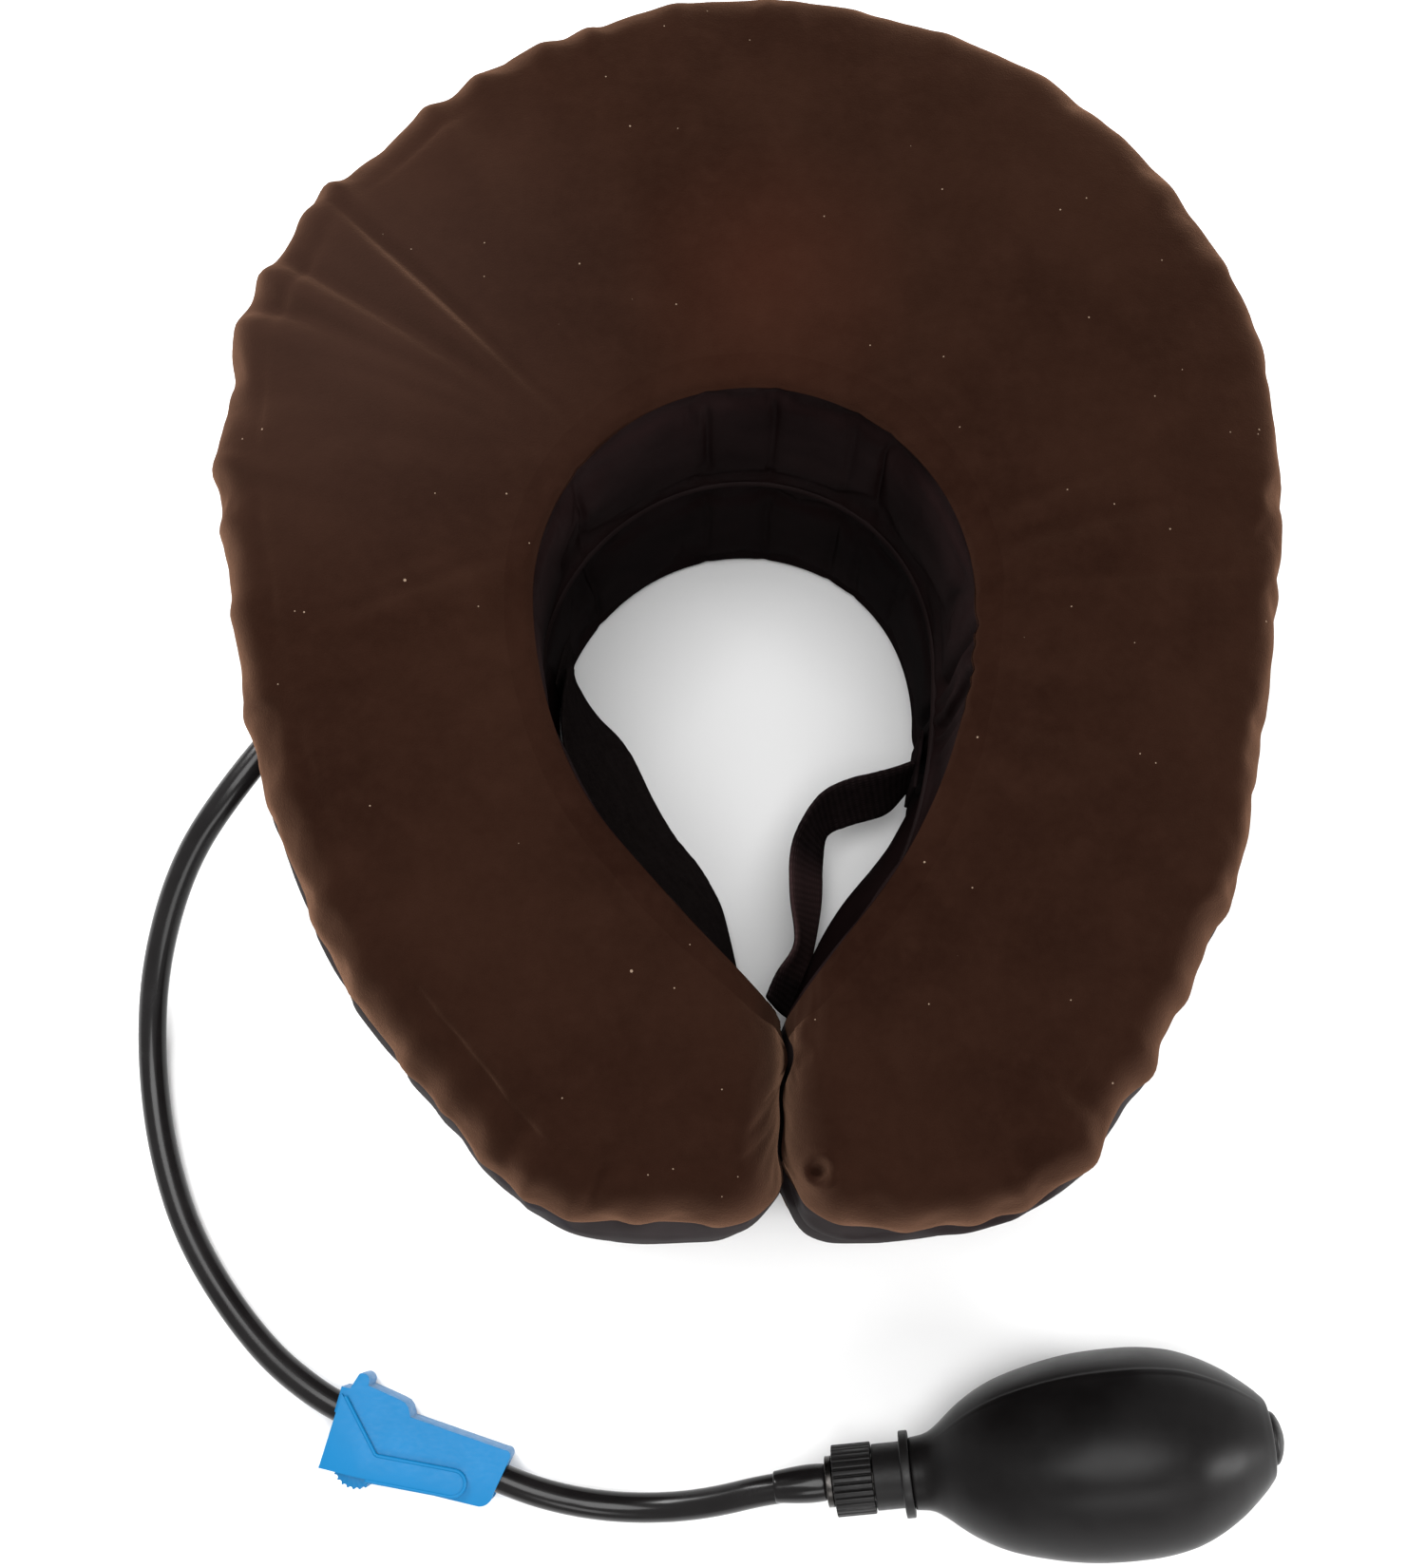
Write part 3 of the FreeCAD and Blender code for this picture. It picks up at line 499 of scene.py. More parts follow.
SLIT_LEFT, SLIT_RIGHT = 6.0, 7.0
SLIT_MIDDLE = (SLIT_LEFT + SLIT_RIGHT) / 2
CENTRE = 4j
TIP_Y = -88.0
MIDDLE = 62.5
HEIGHT = 125.0
# Depths below a tier's outer face, in millimetres: where its rim meets its wall, and where the tier
# ends.
SEAM_TOP = 21.0
TIER_END = 61.7

# Plan points are x + iy. The outer edge runs from the left of the slit round the back.
OUTER_START = SLIT_LEFT - 117j
OUTER = [
    -8-131j, -26-131j, -57-118j, -98-60j, -119+44j, 154j, 119+44j, 105-59j, 73-113j, 44-130j,
    21-132j, SLIT_RIGHT - 118j,
]
OPENING_BACK = 48.5j
OPENING_LEFT = [-46.8+1j, -40.4-31.2j, -28.2-51.5j, SLIT_LEFT + TIP_Y * 1j]
OPENING_RIGHT = [47.8-1j, 41.2-35.3j, 24-66j, SLIT_RIGHT + TIP_Y * 1j]

# Which point of the outer edge faces which point of the opening.
ACROSS = [
    (6-117j, 6-88j), (-26-131j, -9-73.5j), (-57-118j, -20-60.5j), (-98-60j, -40.4-31.2j),
    (-117+5j, -46.8+1j), (-104+96j, -37+33j), (154j, 48.5j), (104+96j, 36+34j), (118+0j, 47.8-1j),
    (105-59j, 41.2-35.3j), (73-113j, 24-66j), (44-130j, 14.5-78j), (7-118j, 7-88j),
]


def arcs(start, heading, points, steps=40):
    """Points of a chain of tangent arcs."""
    line = [start]
    for point in points:
        chord = point - start
        lean = cmath.phase(chord / heading)
        for k in range(1, steps + 1):
            share = k / steps
            reach = math.sin(lean * share) / math.sin(lean) if abs(lean) > 1e-4 else share
            line.append(start + chord * reach * cmath.exp(1j * lean * (share - 1)))
        heading *= cmath.exp(2j * lean)
        start = point
    return np.array(line)


def lengths(line):
    return np.concatenate([[0], np.cumsum(np.abs(np.diff(line)))])


def at_length(line, where):
    s = lengths(line)
    return np.interp(where, s, line.real) + 1j * np.interp(where, s, line.imag)


def nearest(line, point):
    return lengths(line)[np.argmin(np.abs(line - point))]


OUTER_LINE = arcs(OUTER_START, -1j, OUTER)
OPENING_LINE = np.concatenate(
    [arcs(OPENING_BACK, -1, OPENING_LEFT)[::-1], arcs(OPENING_BACK, 1, OPENING_RIGHT)[1:]]
)
RING = lengths(OUTER_LINE)[-1]


def stations(step):
    """Matching points along the outer edge and the opening, and the distance along the outer."""
    where = np.linspace(0, RING, int(RING / step))
    marks = [(nearest(OUTER_LINE, a), nearest(OPENING_LINE, b)) for a, b in ACROSS]
    inner_where = np.interp(where, *zip(*marks))
    kernel = np.hanning(15) / np.hanning(15).sum()
    even = np.linspace(inner_where[0], inner_where[-1], len(where))
    bent = np.pad(inner_where - even, 7, mode="reflect", reflect_type="odd")
    inner_where = np.convolve(bent, kernel, "valid") + even
    inner_where = np.clip(np.maximum.accumulate(inner_where), 0, lengths(OPENING_LINE)[-1])
    return where, at_length(OUTER_LINE, where), at_length(OPENING_LINE, inner_where)


# Rim profile: how far in from the outer edge, and how far below the tier's outer face.
RIM = [
    (13, 0), (10.5, 0.35), (8.2, 1.2), (6.2, 2.6), (4.5, 4.5), (3.1, 6.8), (1.9, 9.4), (1.0, 12.2),
    (0.4, 15.2), (0.5, 18.2), (1.5, SEAM_TOP),
]
WALL_PROFILE = [
    (1.5, SEAM_TOP), (0.55, 23.2), (0.1, 26), (-0.2, 29), (-0.3, 32), (-0.2, 35), (0, 38),
    (0.2, 41), (0.6, 44), (1.1, 47), (1.8, 50), (2.8, 52.6), (4.0, 55), (5.3, 57.2), (6.7, 59.2),
    (8.0, 60.7), (9.2, TIER_END),
]
LINING_TOP = 2.2
EDGE = [(0.0, LINING_TOP), (0.25, 1.3), (0.9, 0.55), (2.0, 0.1), (3.6, -0.1)]
LINING_ROWS = 22
TOP_ROWS = 26


def end_drop(distance):
    """How far the tier's outer face falls at a distance from the slit."""
    return np.interp(distance, *zip((0, 20), *RIM[8::-1]))


# How far the rounding at the slit reaches up from the tier's inner face.
END_DEPTH = 20.5


def end_rise(distance):
    """How far the tier's inner face is drawn up at a distance from the slit."""
    return np.interp(distance, [0, 1.5, 5, 9], [END_DEPTH, 12.5, 5.5, 0])


def gather(where, gentle, places, seed):
    """Pinched folds across a seam: their depth along it, deeper near the given places."""
    draw = random.Random(seed)
    depth = np.zeros_like(where)
    at = 0.0
    while at < where[-1]:
        at += draw.uniform(6, 13)
        strength = gentle + sum(a * math.exp(-(((at - s) / w) ** 2)) for s, w, a in places)
        w = draw.uniform(1.6, 3.4)
        depth += strength * draw.uniform(0.35, 1.25) * np.exp(-(((where - at) / w) ** 2))
    return depth


SEAM_ROWS = 6


def section_rows():
    """Rows of one closed section: up the lining, out across the face, down the wall and back."""
    rows = [("lining", 0.0, t) for t in np.linspace(TIER_END, LINING_TOP, LINING_ROWS)]
    rows += [("edge", x, t) for x, t in EDGE[1:]]
    rows += [("face", f, 0.0) for f in np.linspace(0, 1, TOP_ROWS + 2)[1:-1]]
    rows += [("rim", a, t) for a, t in RIM]
    rows += [("wall", a, t) for a, t in WALL_PROFILE[1:]]
    rows += [("seam", f, TIER_END) for f in np.linspace(0, 1, SEAM_ROWS + 2)[1:-1]]
    return rows


ROWS = section_rows()
LINING_END = LINING_ROWS - 1
RIM_END = LINING_END + len(EDGE) - 1 + TOP_ROWS + len(RIM)
WALL_END = RIM_END + len(WALL_PROFILE) - 1

# Soft folds on the top: from, to, half width and height in millimetres.
TOP_FOLDS = [
    (-99+93j, -42+37j, 1.7, 2.1), (-90+80j, -60+52j, 2.6, 1.0), (-113+79j, -48+36j, 2.3, 2.2),
    (-106+62j, -54+36j, 2.2, 1.5), (-118+64j, -92+56j, 2.6, 1.2), (-97+50j, -50+31j, 2.0, 0.8),
    (-70+108j, -40+66j, 4.5, 0.7), (-118+40j, -94+38j, 3.0, 0.9), (-94+30j, -66+26j, 3.0, 0.6),
    (50+6j, 98+17j, 2.2, 1.2), (52+13j, 84+25j, 2.4, 0.9), (52-6j, 92-3j, 3.2, 0.6),
    (-88-10j, -52+4j, 2.2, 1.3), (-80-2j, -54+8j, 2.4, 0.6), (40+52j, 76+96j, 4.0, 0.6),
    (6+56j, 14+110j, 4.5, 0.5), (-31-131j, -25-118j, 1.8, 1.5), (-48-124j, -38-108j, 2.4, 1.0),
    (82-108j, 58-92j, 2.6, 1.5), (66-122j, 50-106j, 2.8, 1.0), (90-96j, 70-84j, 3.0, 0.9),
    (30-132j, 28-116j, 2.4, 0.9),
]


def fold_height(plan, folds):
    """How high the folds stand at points in plan: a soft ridge beside a soft valley."""
    height = np.zeros(plan.shape)
    for start, end, width, rise in folds:
        run = end - start
        local = (plan - start) / run
        along = np.clip(local.real, -0.2, 1.2)
        off = local.imag * abs(run) / width
        fade = np.clip(np.minimum((along + 0.15) / 0.35, (1.2 - along) / 0.7), 0, 1)
        fade = fade * fade * (3 - 2 * fade)
        ridge = np.exp(-((off / 1.9) ** 2))
        height += rise * fade * (ridge - 0.9 * np.exp(-(((off - 2.3) / 0.9) ** 2)))
    return height


# How far the padded outline is drawn in, in millimetres, by direction in degrees.
TRIM = [
    (-180, 1.8), (-150, 0.0), (-135, -1.3), (-120, 0.4), (-105, -2.2), (-90, -1.0), (-75, -1.0),
    (-60, -3.0), (-45, 0.0), (-30, 0.4), (-15, 3.2), (0, 3.2), (15, 1.7), (30, 0.3), (45, 1.7),
    (60, 3.2), (75, 5.2), (90, 6.4), (105, 7.0), (120, 5.2), (135, 2.4), (150, -1.4), (165, -0.8),
    (180, 1.8),
]

# Where the rim's fabric is caught, and how deep it dips from there to the next place.
RIM_PULLS = [
    (-10-131j, 0.8), (-24-131j, 1.0), (-38-130j, 1.3), (-47-125j, 1.5), (-55-116j, 1.2),
    (-64-107j, 0.9), (-74-99j, 1.0), (-85-84j, 0.7), (-96-69j, 1.1), (-104-43j, 1.1),
    (-109-21j, 1.0), (-114+0j, 1.0), (-118+21j, 1.4), (-121+34j, 3.0), (-120+67j, 1.8),
    (-115+82j, 2.0), (-106+97j, 1.0), (-102+106j, 3.0), (-78+129j, 1.6), (-69+134j, 1.1),
    (-54+142j, 0.8), (-38+148j, 0.5), (-18+153j, 0.7), (5+154j, 0.5), (28+151j, 0.7),
    (47+145j, 0.5), (73+133j, 0.7), (90+118j, 0.4), (103+103j, 0.7), (112+84j, 0.5), (119+64j, 0.7),
    (121+30j, 0.4), (120+5j, 0.5), (115-25j, 0.6), (102-64j, 1.0), (93-84j, 1.3), (85-100j, 2.8),
    (71-117j, 1.2), (57-130j, 0.9), (46-131j, 0.7), (32-132j, 0.6), (18-130j, 0.5),
]


def scallops(where):
    """How far the rim dips between the places where its fabric is caught."""
    marks = [(nearest(OUTER_LINE, place), dip) for place, dip in RIM_PULLS]
    depth = np.zeros_like(where)
    for (start, dip), (end, _) in zip(marks, marks[1:]):
        share = np.clip((where - start) / (end - start), 0, 1)
        depth += 1.25 * dip * np.sin(math.pi * share) ** 0.8
        depth -= 0.42 * dip * np.exp(-(((where - start) / 3.2) ** 2))
    return depth


# Where the rim is gathered most: distance along the outer edge, spread and depth.
RIM_GATHERS = [
    (60, 30, 0.7), (245, 26, 0.7), (300, 35, 1.1), (345, 22, 0.8), (430, 60, 0.3), (720, 35, 0.9),
]


# Gathers on the lining at the right: place along Y, half width and depth.
LINING_GATHERS = [
    (0.5, 2.6, -0.5), (-5.4, 1.3, 2.3), (-7.6, 1.0, -0.7), (-9.8, 0.8, 1.4), (-12.2, 1.2, -0.8),
    (-14.8, 1.3, 2.4), (-16.1, 0.6, -0.9), (-17.6, 0.8, 1.6), (-20.0, 0.7, 0.9), (-24.5, 1.2, 0.6),
]


def deep_notches(where, marks):
    depth = np.zeros_like(where)
    for at, width, amount in marks:
        depth += amount * np.exp(-(((where - at) / width) ** 2))
    return depth


def to_the_left(spot, share):
    """How far the lower part of the opening stands to the left of its rim, in millimetres."""
    return -2.8 * share * np.exp(-((spot.imag / 32.0) ** 2))


def tier_points(seed, crown, lean_in):
    """A tier's rest shape: an array of stations by rows, each (x, y, drop from its outer face)."""
    where, outer, inner = stations(2.5)
    from_middle = outer - CENTRE
    trim = np.interp(np.degrees(np.angle(from_middle)), *zip(*TRIM))
    outer = outer - trim * from_middle / np.abs(from_middle)
    across = outer - inner
    width = np.abs(across)
    out = across / width
    rim_folds = gather(where, 0.55, RIM_GATHERS, seed)
    deep = scallops(where)
    puff = deep_notches(
        where, [(nearest(OUTER_LINE, -22-131j), 17, 1.0), (nearest(OUTER_LINE, 17-130j), 11, 1.1)]
    )
    end_folds = gather(where, 0.7, [], seed + 1)
    lining_at = lengths(inner)
    pleats = deep_notches(
        lining_at,
        [(nearest(inner, p), 1.1, 0.9) for p in (-10+47.5j, 6+48j, 24+44j, 31+39j, -38+30j)],
    )
    pleats = pleats + deep_notches(
        lining_at,
        [(nearest(inner, 47.5 + y * 1j), wide, deep_in) for y, wide, deep_in in LINING_GATHERS],
    )
    lean = lean_in * np.exp(-(((lining_at - nearest(inner, 22-56j)) / 25.0) ** 2))
    plan = np.zeros((len(where), len(ROWS)), complex)
    drop = np.zeros((len(where), len(ROWS)))
    for j, (zone, a, t) in enumerate(ROWS):
        if zone in ("lining", "edge"):
            fade = min(1.0, (TIER_END - t) / 6, max(t - LINING_TOP, 0) / 4)
            x = a + pleats * min(1.0, 0.35 + fade)
            x = x - lean * np.interp(t, [0, 40, TIER_END - 2], [1.0, 1.0, 0.0])
            fall = t
        elif zone == "face":
            start, end = EDGE[-1][0], width - RIM[0][0] - 1.7 * puff
            x = start - lean * (1 - a) + (end - start) * a
            rim_near = np.exp(-(width - x - RIM[0][0]) / 14)
            fall = -crown * math.sin(math.pi * a) ** 0.7 + rim_near * (0.30 * rim_folds + 0.55 * deep)
        elif zone == "seam":
            x = (width - WALL_PROFILE[-1][0]) * (1 - a)
            fall = t
        else:
            x = width - a - 1.7 * puff
            if zone == "rim":
                near = math.exp(-(SEAM_TOP - t) / 9)
                x = x - rim_folds * near - deep * (0.35 + 0.65 * near)
                fall = t + (0.30 * rim_folds + 0.55 * deep) * (1 - t / SEAM_TOP)
            else:
                near = math.exp(-(t - SEAM_TOP) / 8)
                far = math.exp(-(TIER_END - t) / 8)
                x = x - (rim_folds + deep) * near - end_folds * far * 0.9
                x = x + 2.2 * puff * math.sin(math.pi * (t - SEAM_TOP) / (TIER_END - SEAM_TOP)) ** 0.6
                fall = t
        shift = {"seam": a * a, "face": 0.0 if crown else (1 - a) ** 2}.get(zone, 0.0)
        if zone in ("lining", "edge"):
            shift = t / TIER_END if crown else 1.0
        plan[:, j] = inner + out * x + to_the_left(inner, shift)
        wave = 0.9 * np.sin((plan[:, j].imag + 70) / 5.2) + 0.5 * np.sin((plan[:, j].imag + 60) / 2.1)
        near_slit = np.exp(-(((plan[:, j].real - SLIT_MIDDLE) / 7.0) ** 2))
        plan[:, j] += wave * near_slit * np.clip((-84 - plan[:, j].imag) / 10, 0, 1)
        drop[:, j] = fall
    left = np.arange(len(where)) < len(where) / 2
    to_slit = np.where(left[:, None], SLIT_LEFT - plan.real, plan.real - SLIT_RIGHT)
    to_slit = np.where(plan.imag < -60, np.maximum(to_slit, 0), 99)
    drop = np.where(
        drop < SEAM_TOP, drop + end_drop(to_slit) * (1 - np.maximum(drop, 0) / SEAM_TOP), drop
    )
    low = MIDDLE - drop
    low = np.where(low < END_DEPTH, low + end_rise(to_slit) * (1 - low / END_DEPTH), low)
    drop = MIDDLE - low
    return plan, drop


def tier_grid(upper):
    """A tier's points in the row frame, its outer face up or down."""
    plan, drop = tier_points(11 if upper else 29, 2.4 if upper else 0.0, 0.0 if upper else 7.5)
    height = HEIGHT - drop if upper else np.maximum(drop, 0)
    return np.stack([plan.real, plan.imag, height], -1)


CLOTH_FRAMES = 20


def inflated(points, upper):
    """The tier after its fabric has been blown up between its seams."""
    stations_count, rows = points.shape[:2]
    mesh = sealed(grid_mesh("tier_cloth", np.swapaxes(points, 0, 1), closed=True))
    piece = link("tier_cloth", mesh, None)
    fixed = np.zeros((rows, stations_count), bool)
    for row in (0, LINING_END, RIM_END, WALL_END):
        fixed[row] = True
    fixed[WALL_END:] = True
    fixed[:, (0, 1, -2, -1)] = True
    group = piece.vertex_groups.new(name="sewn")
    group.add(np.flatnonzero(fixed).tolist(), 1.0, "REPLACE")
    cloth = piece.modifiers.new("cloth", "CLOTH")
    for key, value in dict(
        quality=5, mass=0.3, tension_stiffness=20, compression_stiffness=12, shear_stiffness=4,
        bending_stiffness=0.15, shrink_min=-0.025, use_pressure=True, uniform_pressure_force=4.0,
        vertex_group_mass="sewn",
    ).items():
        setattr(cloth.settings, key, value)
    cloth.settings.effector_weights.gravity = 0
    cloth.point_cache.frame_start = 1
    cloth.point_cache.frame_end = CLOTH_FRAMES
    for number in range(1, CLOTH_FRAMES + 1):
        scene.frame_set(number)
    graph = bpy.context.evaluated_depsgraph_get()
    blown = piece.evaluated_get(graph).to_mesh()
    flat = np.zeros(len(blown.vertices) * 3)
    blown.vertices.foreach_get("co", flat)
    result = flat.reshape(-1, 3)[: rows * stations_count].reshape(rows, stations_count, 3)
    result = np.swapaxes(result, 0, 1)
    piece.evaluated_get(graph).to_mesh_clear()
    bpy.data.objects.remove(piece)
    scene.frame_set(1)
    move = result / MM - points
    lining_cap, velvet_cap, wall_cap = (1.4, 1.0, 1.3) if upper else (1.4, 4.0, 3.0)
    cap = np.full(rows, velvet_cap)
    cap[: LINING_END + 1] = lining_cap
    cap[RIM_END:] = wall_cap
    cap = cap[:, None]
    size = np.linalg.norm(move, axis=-1, keepdims=True)
    result = points + move * (np.tanh(size / cap) * cap / np.maximum(size, 1e-6))
    if not upper:
        result[..., 2] = np.maximum(result[..., 2], 0.0)
    return result


def make_tier(upper):
    name, body, side = (
        ("upper", "collar_top", "top") if upper else ("lower", "collar_base", "bottom")
    )
    points = tier_grid(upper)
    points = inflated(points, upper)
    cover = side + "_velvet_cover"
    closed_wall = np.concatenate([points[:, RIM_END:], points[:, :1]], 1)
    parts = [
        (cover, points[:, LINING_END : RIM_END + 1], "velvet", side + "_velvet_panel"),
        (name + "_nylon_wall", closed_wall, "wall_nylon", name + "_outer_wall"),
        (name + "_nylon_lining", points[:, : LINING_END + 1], "lining_nylon", name + "_inner_lining"),
    ]
    hem = smooth(tube(name + "_rim_hem", points[:, RIM_END], 0.65, LOOKS["hem_velvet"], sides=6))
    finish_piece(hem, body, "velvet")
    deflate(hem)
    for title, part, slot, node in parts:
        piece = link(title, grid_mesh(title, part), LOOKS[slot])
        if "wall" in title:
            close_ends(piece, points)
        face_outwards(piece, points)
        if title == cover:
            piece.data.materials.append(LOOKS["velvet_edge"])
            across = part.shape[1] - 1
            shares = [int(k % across < len(EDGE)) for k in range(len(piece.data.polygons))]
            piece.data.polygons.foreach_set("material_index", shares)
        smooth(piece, 1)
        if title == "top_velvet_cover":
            press_folds(piece)
        finish_piece(piece, body, slot, node)
        deflate(piece)


def press_folds(piece):
    """Raises the soft folds of the top, the tuck at its front corner and a faint unevenness."""
    count = len(piece.data.vertices)
    place = np.zeros(count * 3)
    piece.data.vertices.foreach_get("co", place)
    place = place.reshape(-1, 3) / MM
    plan = place[:, 0] + 1j * place[:, 1]
    rise = 0.8 * fold_height(plan, TOP_FOLDS)
    draw = np.random.default_rng(3)
    for size in (34, 19, 11):
        for _ in range(5):
            turn, phase = draw.uniform(0, 2 * math.pi, 2)
            rise += size * 0.0052 * np.sin((plan * cmath.exp(1j * turn)).real / size * 2.6 + phase)
    off = np.abs(plan - (13.2-120j))
    rise += 1.7 * np.exp(-(((off - 3.0) / 1.3) ** 2)) - 4.0 * np.exp(-((off / 1.7) ** 2))
    share = np.clip((place[:, 2] - HEIGHT + 16) / 12, 0, 1)
    place[:, 2] += rise * share * share * (3 - 2 * share)
    piece.data.vertices.foreach_set("co", (place * MM).ravel())
    piece.data.update()


def close_ends(piece, points):
    """Closes a tier's two end faces at the slit."""
    with edited(piece.data) as work:
        for end in (0, -1):
            ring = [work.verts.new(p * MM) for p in points[end]]
            work.faces.new(ring if end else ring[::-1])
        bmesh.ops.remove_doubles(work, verts=work.verts, dist=1e-6)


def face_outwards(piece, points):
    """Turns the faces so that their fronts are on the outside of the tier."""
    with edited(piece.data) as work:
        bmesh.ops.recalc_face_normals(work, faces=work.faces)
        work.faces.ensure_lookup_table()
        middle = Vector(points[len(points) // 2].mean(axis=0) * MM)
        near = min(work.faces, key=lambda f: (f.calc_center_median() - middle).length)
        if near.normal.dot(near.calc_center_median() - middle) < 0:
            bmesh.ops.reverse_faces(work, faces=work.faces)


def make_piping(material):
    """The cords in the seam between the tiers: round the outside and slit, and in the opening."""
    inward = np.gradient(OUTER_LINE)
    inward = -1j * inward / np.abs(inward)
    outside = OUTER_LINE + inward * 9.3
    outside = np.concatenate([[-3.3-86j, -3.3-100j], outside, [16.3-100j, 16.3-86j]])
    keep = (OPENING_LINE.imag > -60) | (OPENING_LINE.real < -3.3) | (OPENING_LINE.real > 16.3)
    inside = OPENING_LINE[keep]
    for name, line, radius, node in (
        ("outer_piping", outside, 1.5, "outer_seam_piping"),
        ("inner_piping", inside + to_the_left(inside, 1.0), 0.85, "inner_seam_piping"),
    ):
        total = lengths(line)[-1]
        line = at_length(line, np.linspace(0, total, int(total / 2)))
        path = np.stack([line.real, line.imag, np.full(len(line), MIDDLE)], -1)
        piece = tube(name, path, radius, material, sides=10)
        smooth(piece)
        finish_piece(piece, "collar_seam", "piping", node)


def reach(line):
    """Distance of a line from the collar's middle, by direction."""
    spot = line - CENTRE
    order = np.argsort(np.angle(spot))
    return np.angle(spot)[order], np.abs(spot)[order]


INNER_REACH, OUTER_REACH = reach(OPENING_LINE), reach(OUTER_LINE)


def make_bladders(material):
    """The sealed bags, drawn in so that they stay inside the padded outline."""
    for tier, body, centre in (("lower", "collar_base", 0.031), ("upper", "collar_top", 0.094)):
        piece = from_node(tier + "_bladder", tier + "_film_bag", material)
        with edited(piece.data) as work:
            work.normal_update()
            for vertex in work.verts:
                spot = complex(vertex.co.x, vertex.co.y) / MM - CENTRE
                angle = np.angle(spot)
                inner, outer = np.interp(angle, *INNER_REACH), np.interp(angle, *OUTER_REACH)
                share = (abs(spot) - inner) / (outer - inner)
                outer -= np.interp(math.degrees(angle), *zip(*TRIM)) + 6.5
                spot *= (inner + 3 + (outer - inner - 3) * share) / abs(spot)
                spot += CENTRE
                if spot.imag < -70:
                    off = spot.real - SLIT_MIDDLE
                    spot += math.copysign(3 * math.exp(-abs(off) / 12), off)
                vertex.co.x, vertex.co.y = spot.real * MM, spot.imag * MM
                vertex.co.z = centre + (vertex.co.z - centre) * 0.9
        finish_piece(piece, body, "bladder_film", tier + "_bladder")
        deflate(piece)


# -------- straps

# Each station is the strap's lower edge and its upper edge, in millimetres.
LOOP_STRAP = [
    ((-44.0, 9.5, 2.5), (-44.6, 8, 42)), ((-38.8, 3.2, 2.5), (-45.4, -6, 47)),
    ((-30.9, -6.0, 2.5), (-43.2, -21, 50)), ((-19.5, -27.5, 2.5), (-35.2, -39, 50)),
    ((-11.2, -38, 2.5), (-23.6, -52, 48)), ((-7.0, -46, 2.5), (-14.6, -61.6, 47)),
    ((-4.6, -56, 2.5), (-8.2, -68.2, 46)), ((-2.6, -65, 2.5), (-3.6, -72, 44)),
]
HOOK_STRAP = [
    ((42.2, -18.9, 14), (42.5, -15.7, 38)), ((36.7, -25.0, 14), (33.5, -18.8, 38)),
    ((27.7, -27.5, 14), (24.0, -21.4, 38)), ((21.2, -30.5, 14), (17.4, -25.5, 38)),
    ((20.2, -37.5, 14), (11.6, -36.0, 38)), ((19.4, -47.5, 14), (11.0, -49.5, 38)),
    ((17.2, -61.4, 14), (11.8, -61.5, 38)), ((15.6, -70.5, 18), (7.6, -69.0, 38)),
    ((10.6, -79.5, 22), (4.8, -75.5, 40)),
]


def spline(points, count):
    """A smooth line through points, evenly spaced by parameter."""
    p = np.asarray(points, float)
    p = np.concatenate([2 * p[:1] - p[1:2], p, 2 * p[-1:] - p[-2:-1]])
    t = np.linspace(0, len(p) - 3 - 1e-9, count)
    i = t.astype(int)
    f = (t - i)[:, None]
    a, b, c, d = p[i], p[i + 1], p[i + 2], p[i + 3]
    return 0.5 * (
        2 * b + (c - a) * f + (2 * a - 5 * b + 4 * c - d) * f ** 2 + (3 * b - a - 3 * c + d) * f ** 3
    )


def make_strap(kind, stations_list, thickness, seed, fray, bow):
    """A flat band through its stations, with rounded edges, a slight bow and uneven edges."""
    low = spline([s[0] for s in stations_list], 90)
    high = spline([s[1] for s in stations_list], 90)
    middle = (low + high) / 2
    along = np.gradient(middle, axis=0)
    steps = np.linalg.norm(np.diff(middle, axis=0), axis=1)
    length = np.concatenate([[0], np.cumsum(steps)])
    across = high - low
    width = np.linalg.norm(across, axis=1)
    face = np.cross(along, across)
    face /= np.linalg.norm(face, axis=1)[:, None]
    draw = np.random.default_rng(seed)
    columns = 15
    front, back, uv_front, uv_back = [], [], [], []
    for f in np.linspace(0, 1, columns):
        edge = min(f, 1 - f)
        half = thickness / 2 * min(1.0, 0.35 + 0.65 * (edge / 0.09) ** 0.5)
        ripple = bow * math.sin(math.pi * f) + 0.22 * np.sin(length / 4.7 + 5 * f) * (edge < 0.2)
        rough = draw.normal(0, fray, len(low)) * (1.0 if edge < 0.01 else 0.25)
        line = low + across * f + face * ripple[:, None]
        line = line + across / width[:, None] * (rough * (edge < 0.01))[:, None]
        front.append(line + face * (half + rough[:, None] * 0.3))
        back.append(line - face * half)
        uv_front.append(np.stack([f * width * MM, length * MM], -1))
        uv_back.append(np.stack([(2 - f) * width * MM, length * MM], -1))
    loop = np.stack(front + back[::-1], 0)
    uv = np.stack(uv_front + uv_back[::-1], 0)
    name, slot = kind + "_band", kind + "_webbing"
    piece = smooth(link(name, sealed(grid_mesh(name, loop, closed=True, uv=uv)), LOOKS[slot]), 1)
    finish_piece(piece, "collar_base", slot, kind + "_strap")
    deflate(piece)


# -------- clamp, valve and bulb

def bulb_shape(x, r, a):
    """The shell's soft facets and the ridge left by its mould along two sides."""
    swell = np.clip((x - 24) / 25, 0, 1) * np.clip((104 - x) / 18, 0, 1)
    facets = 0.010 * np.cos(6 * (a + 0.35)) * swell
    r = r * (1 + facets - 0.045 * np.cos(a) ** 2 * swell)
    for seam in (0.21 * math.pi, 1.21 * math.pi):
        off = (a - seam + math.pi) % (2 * math.pi) - math.pi
        r = r + 0.34 * np.exp(-((off / 0.017) ** 2)) * swell
    return r


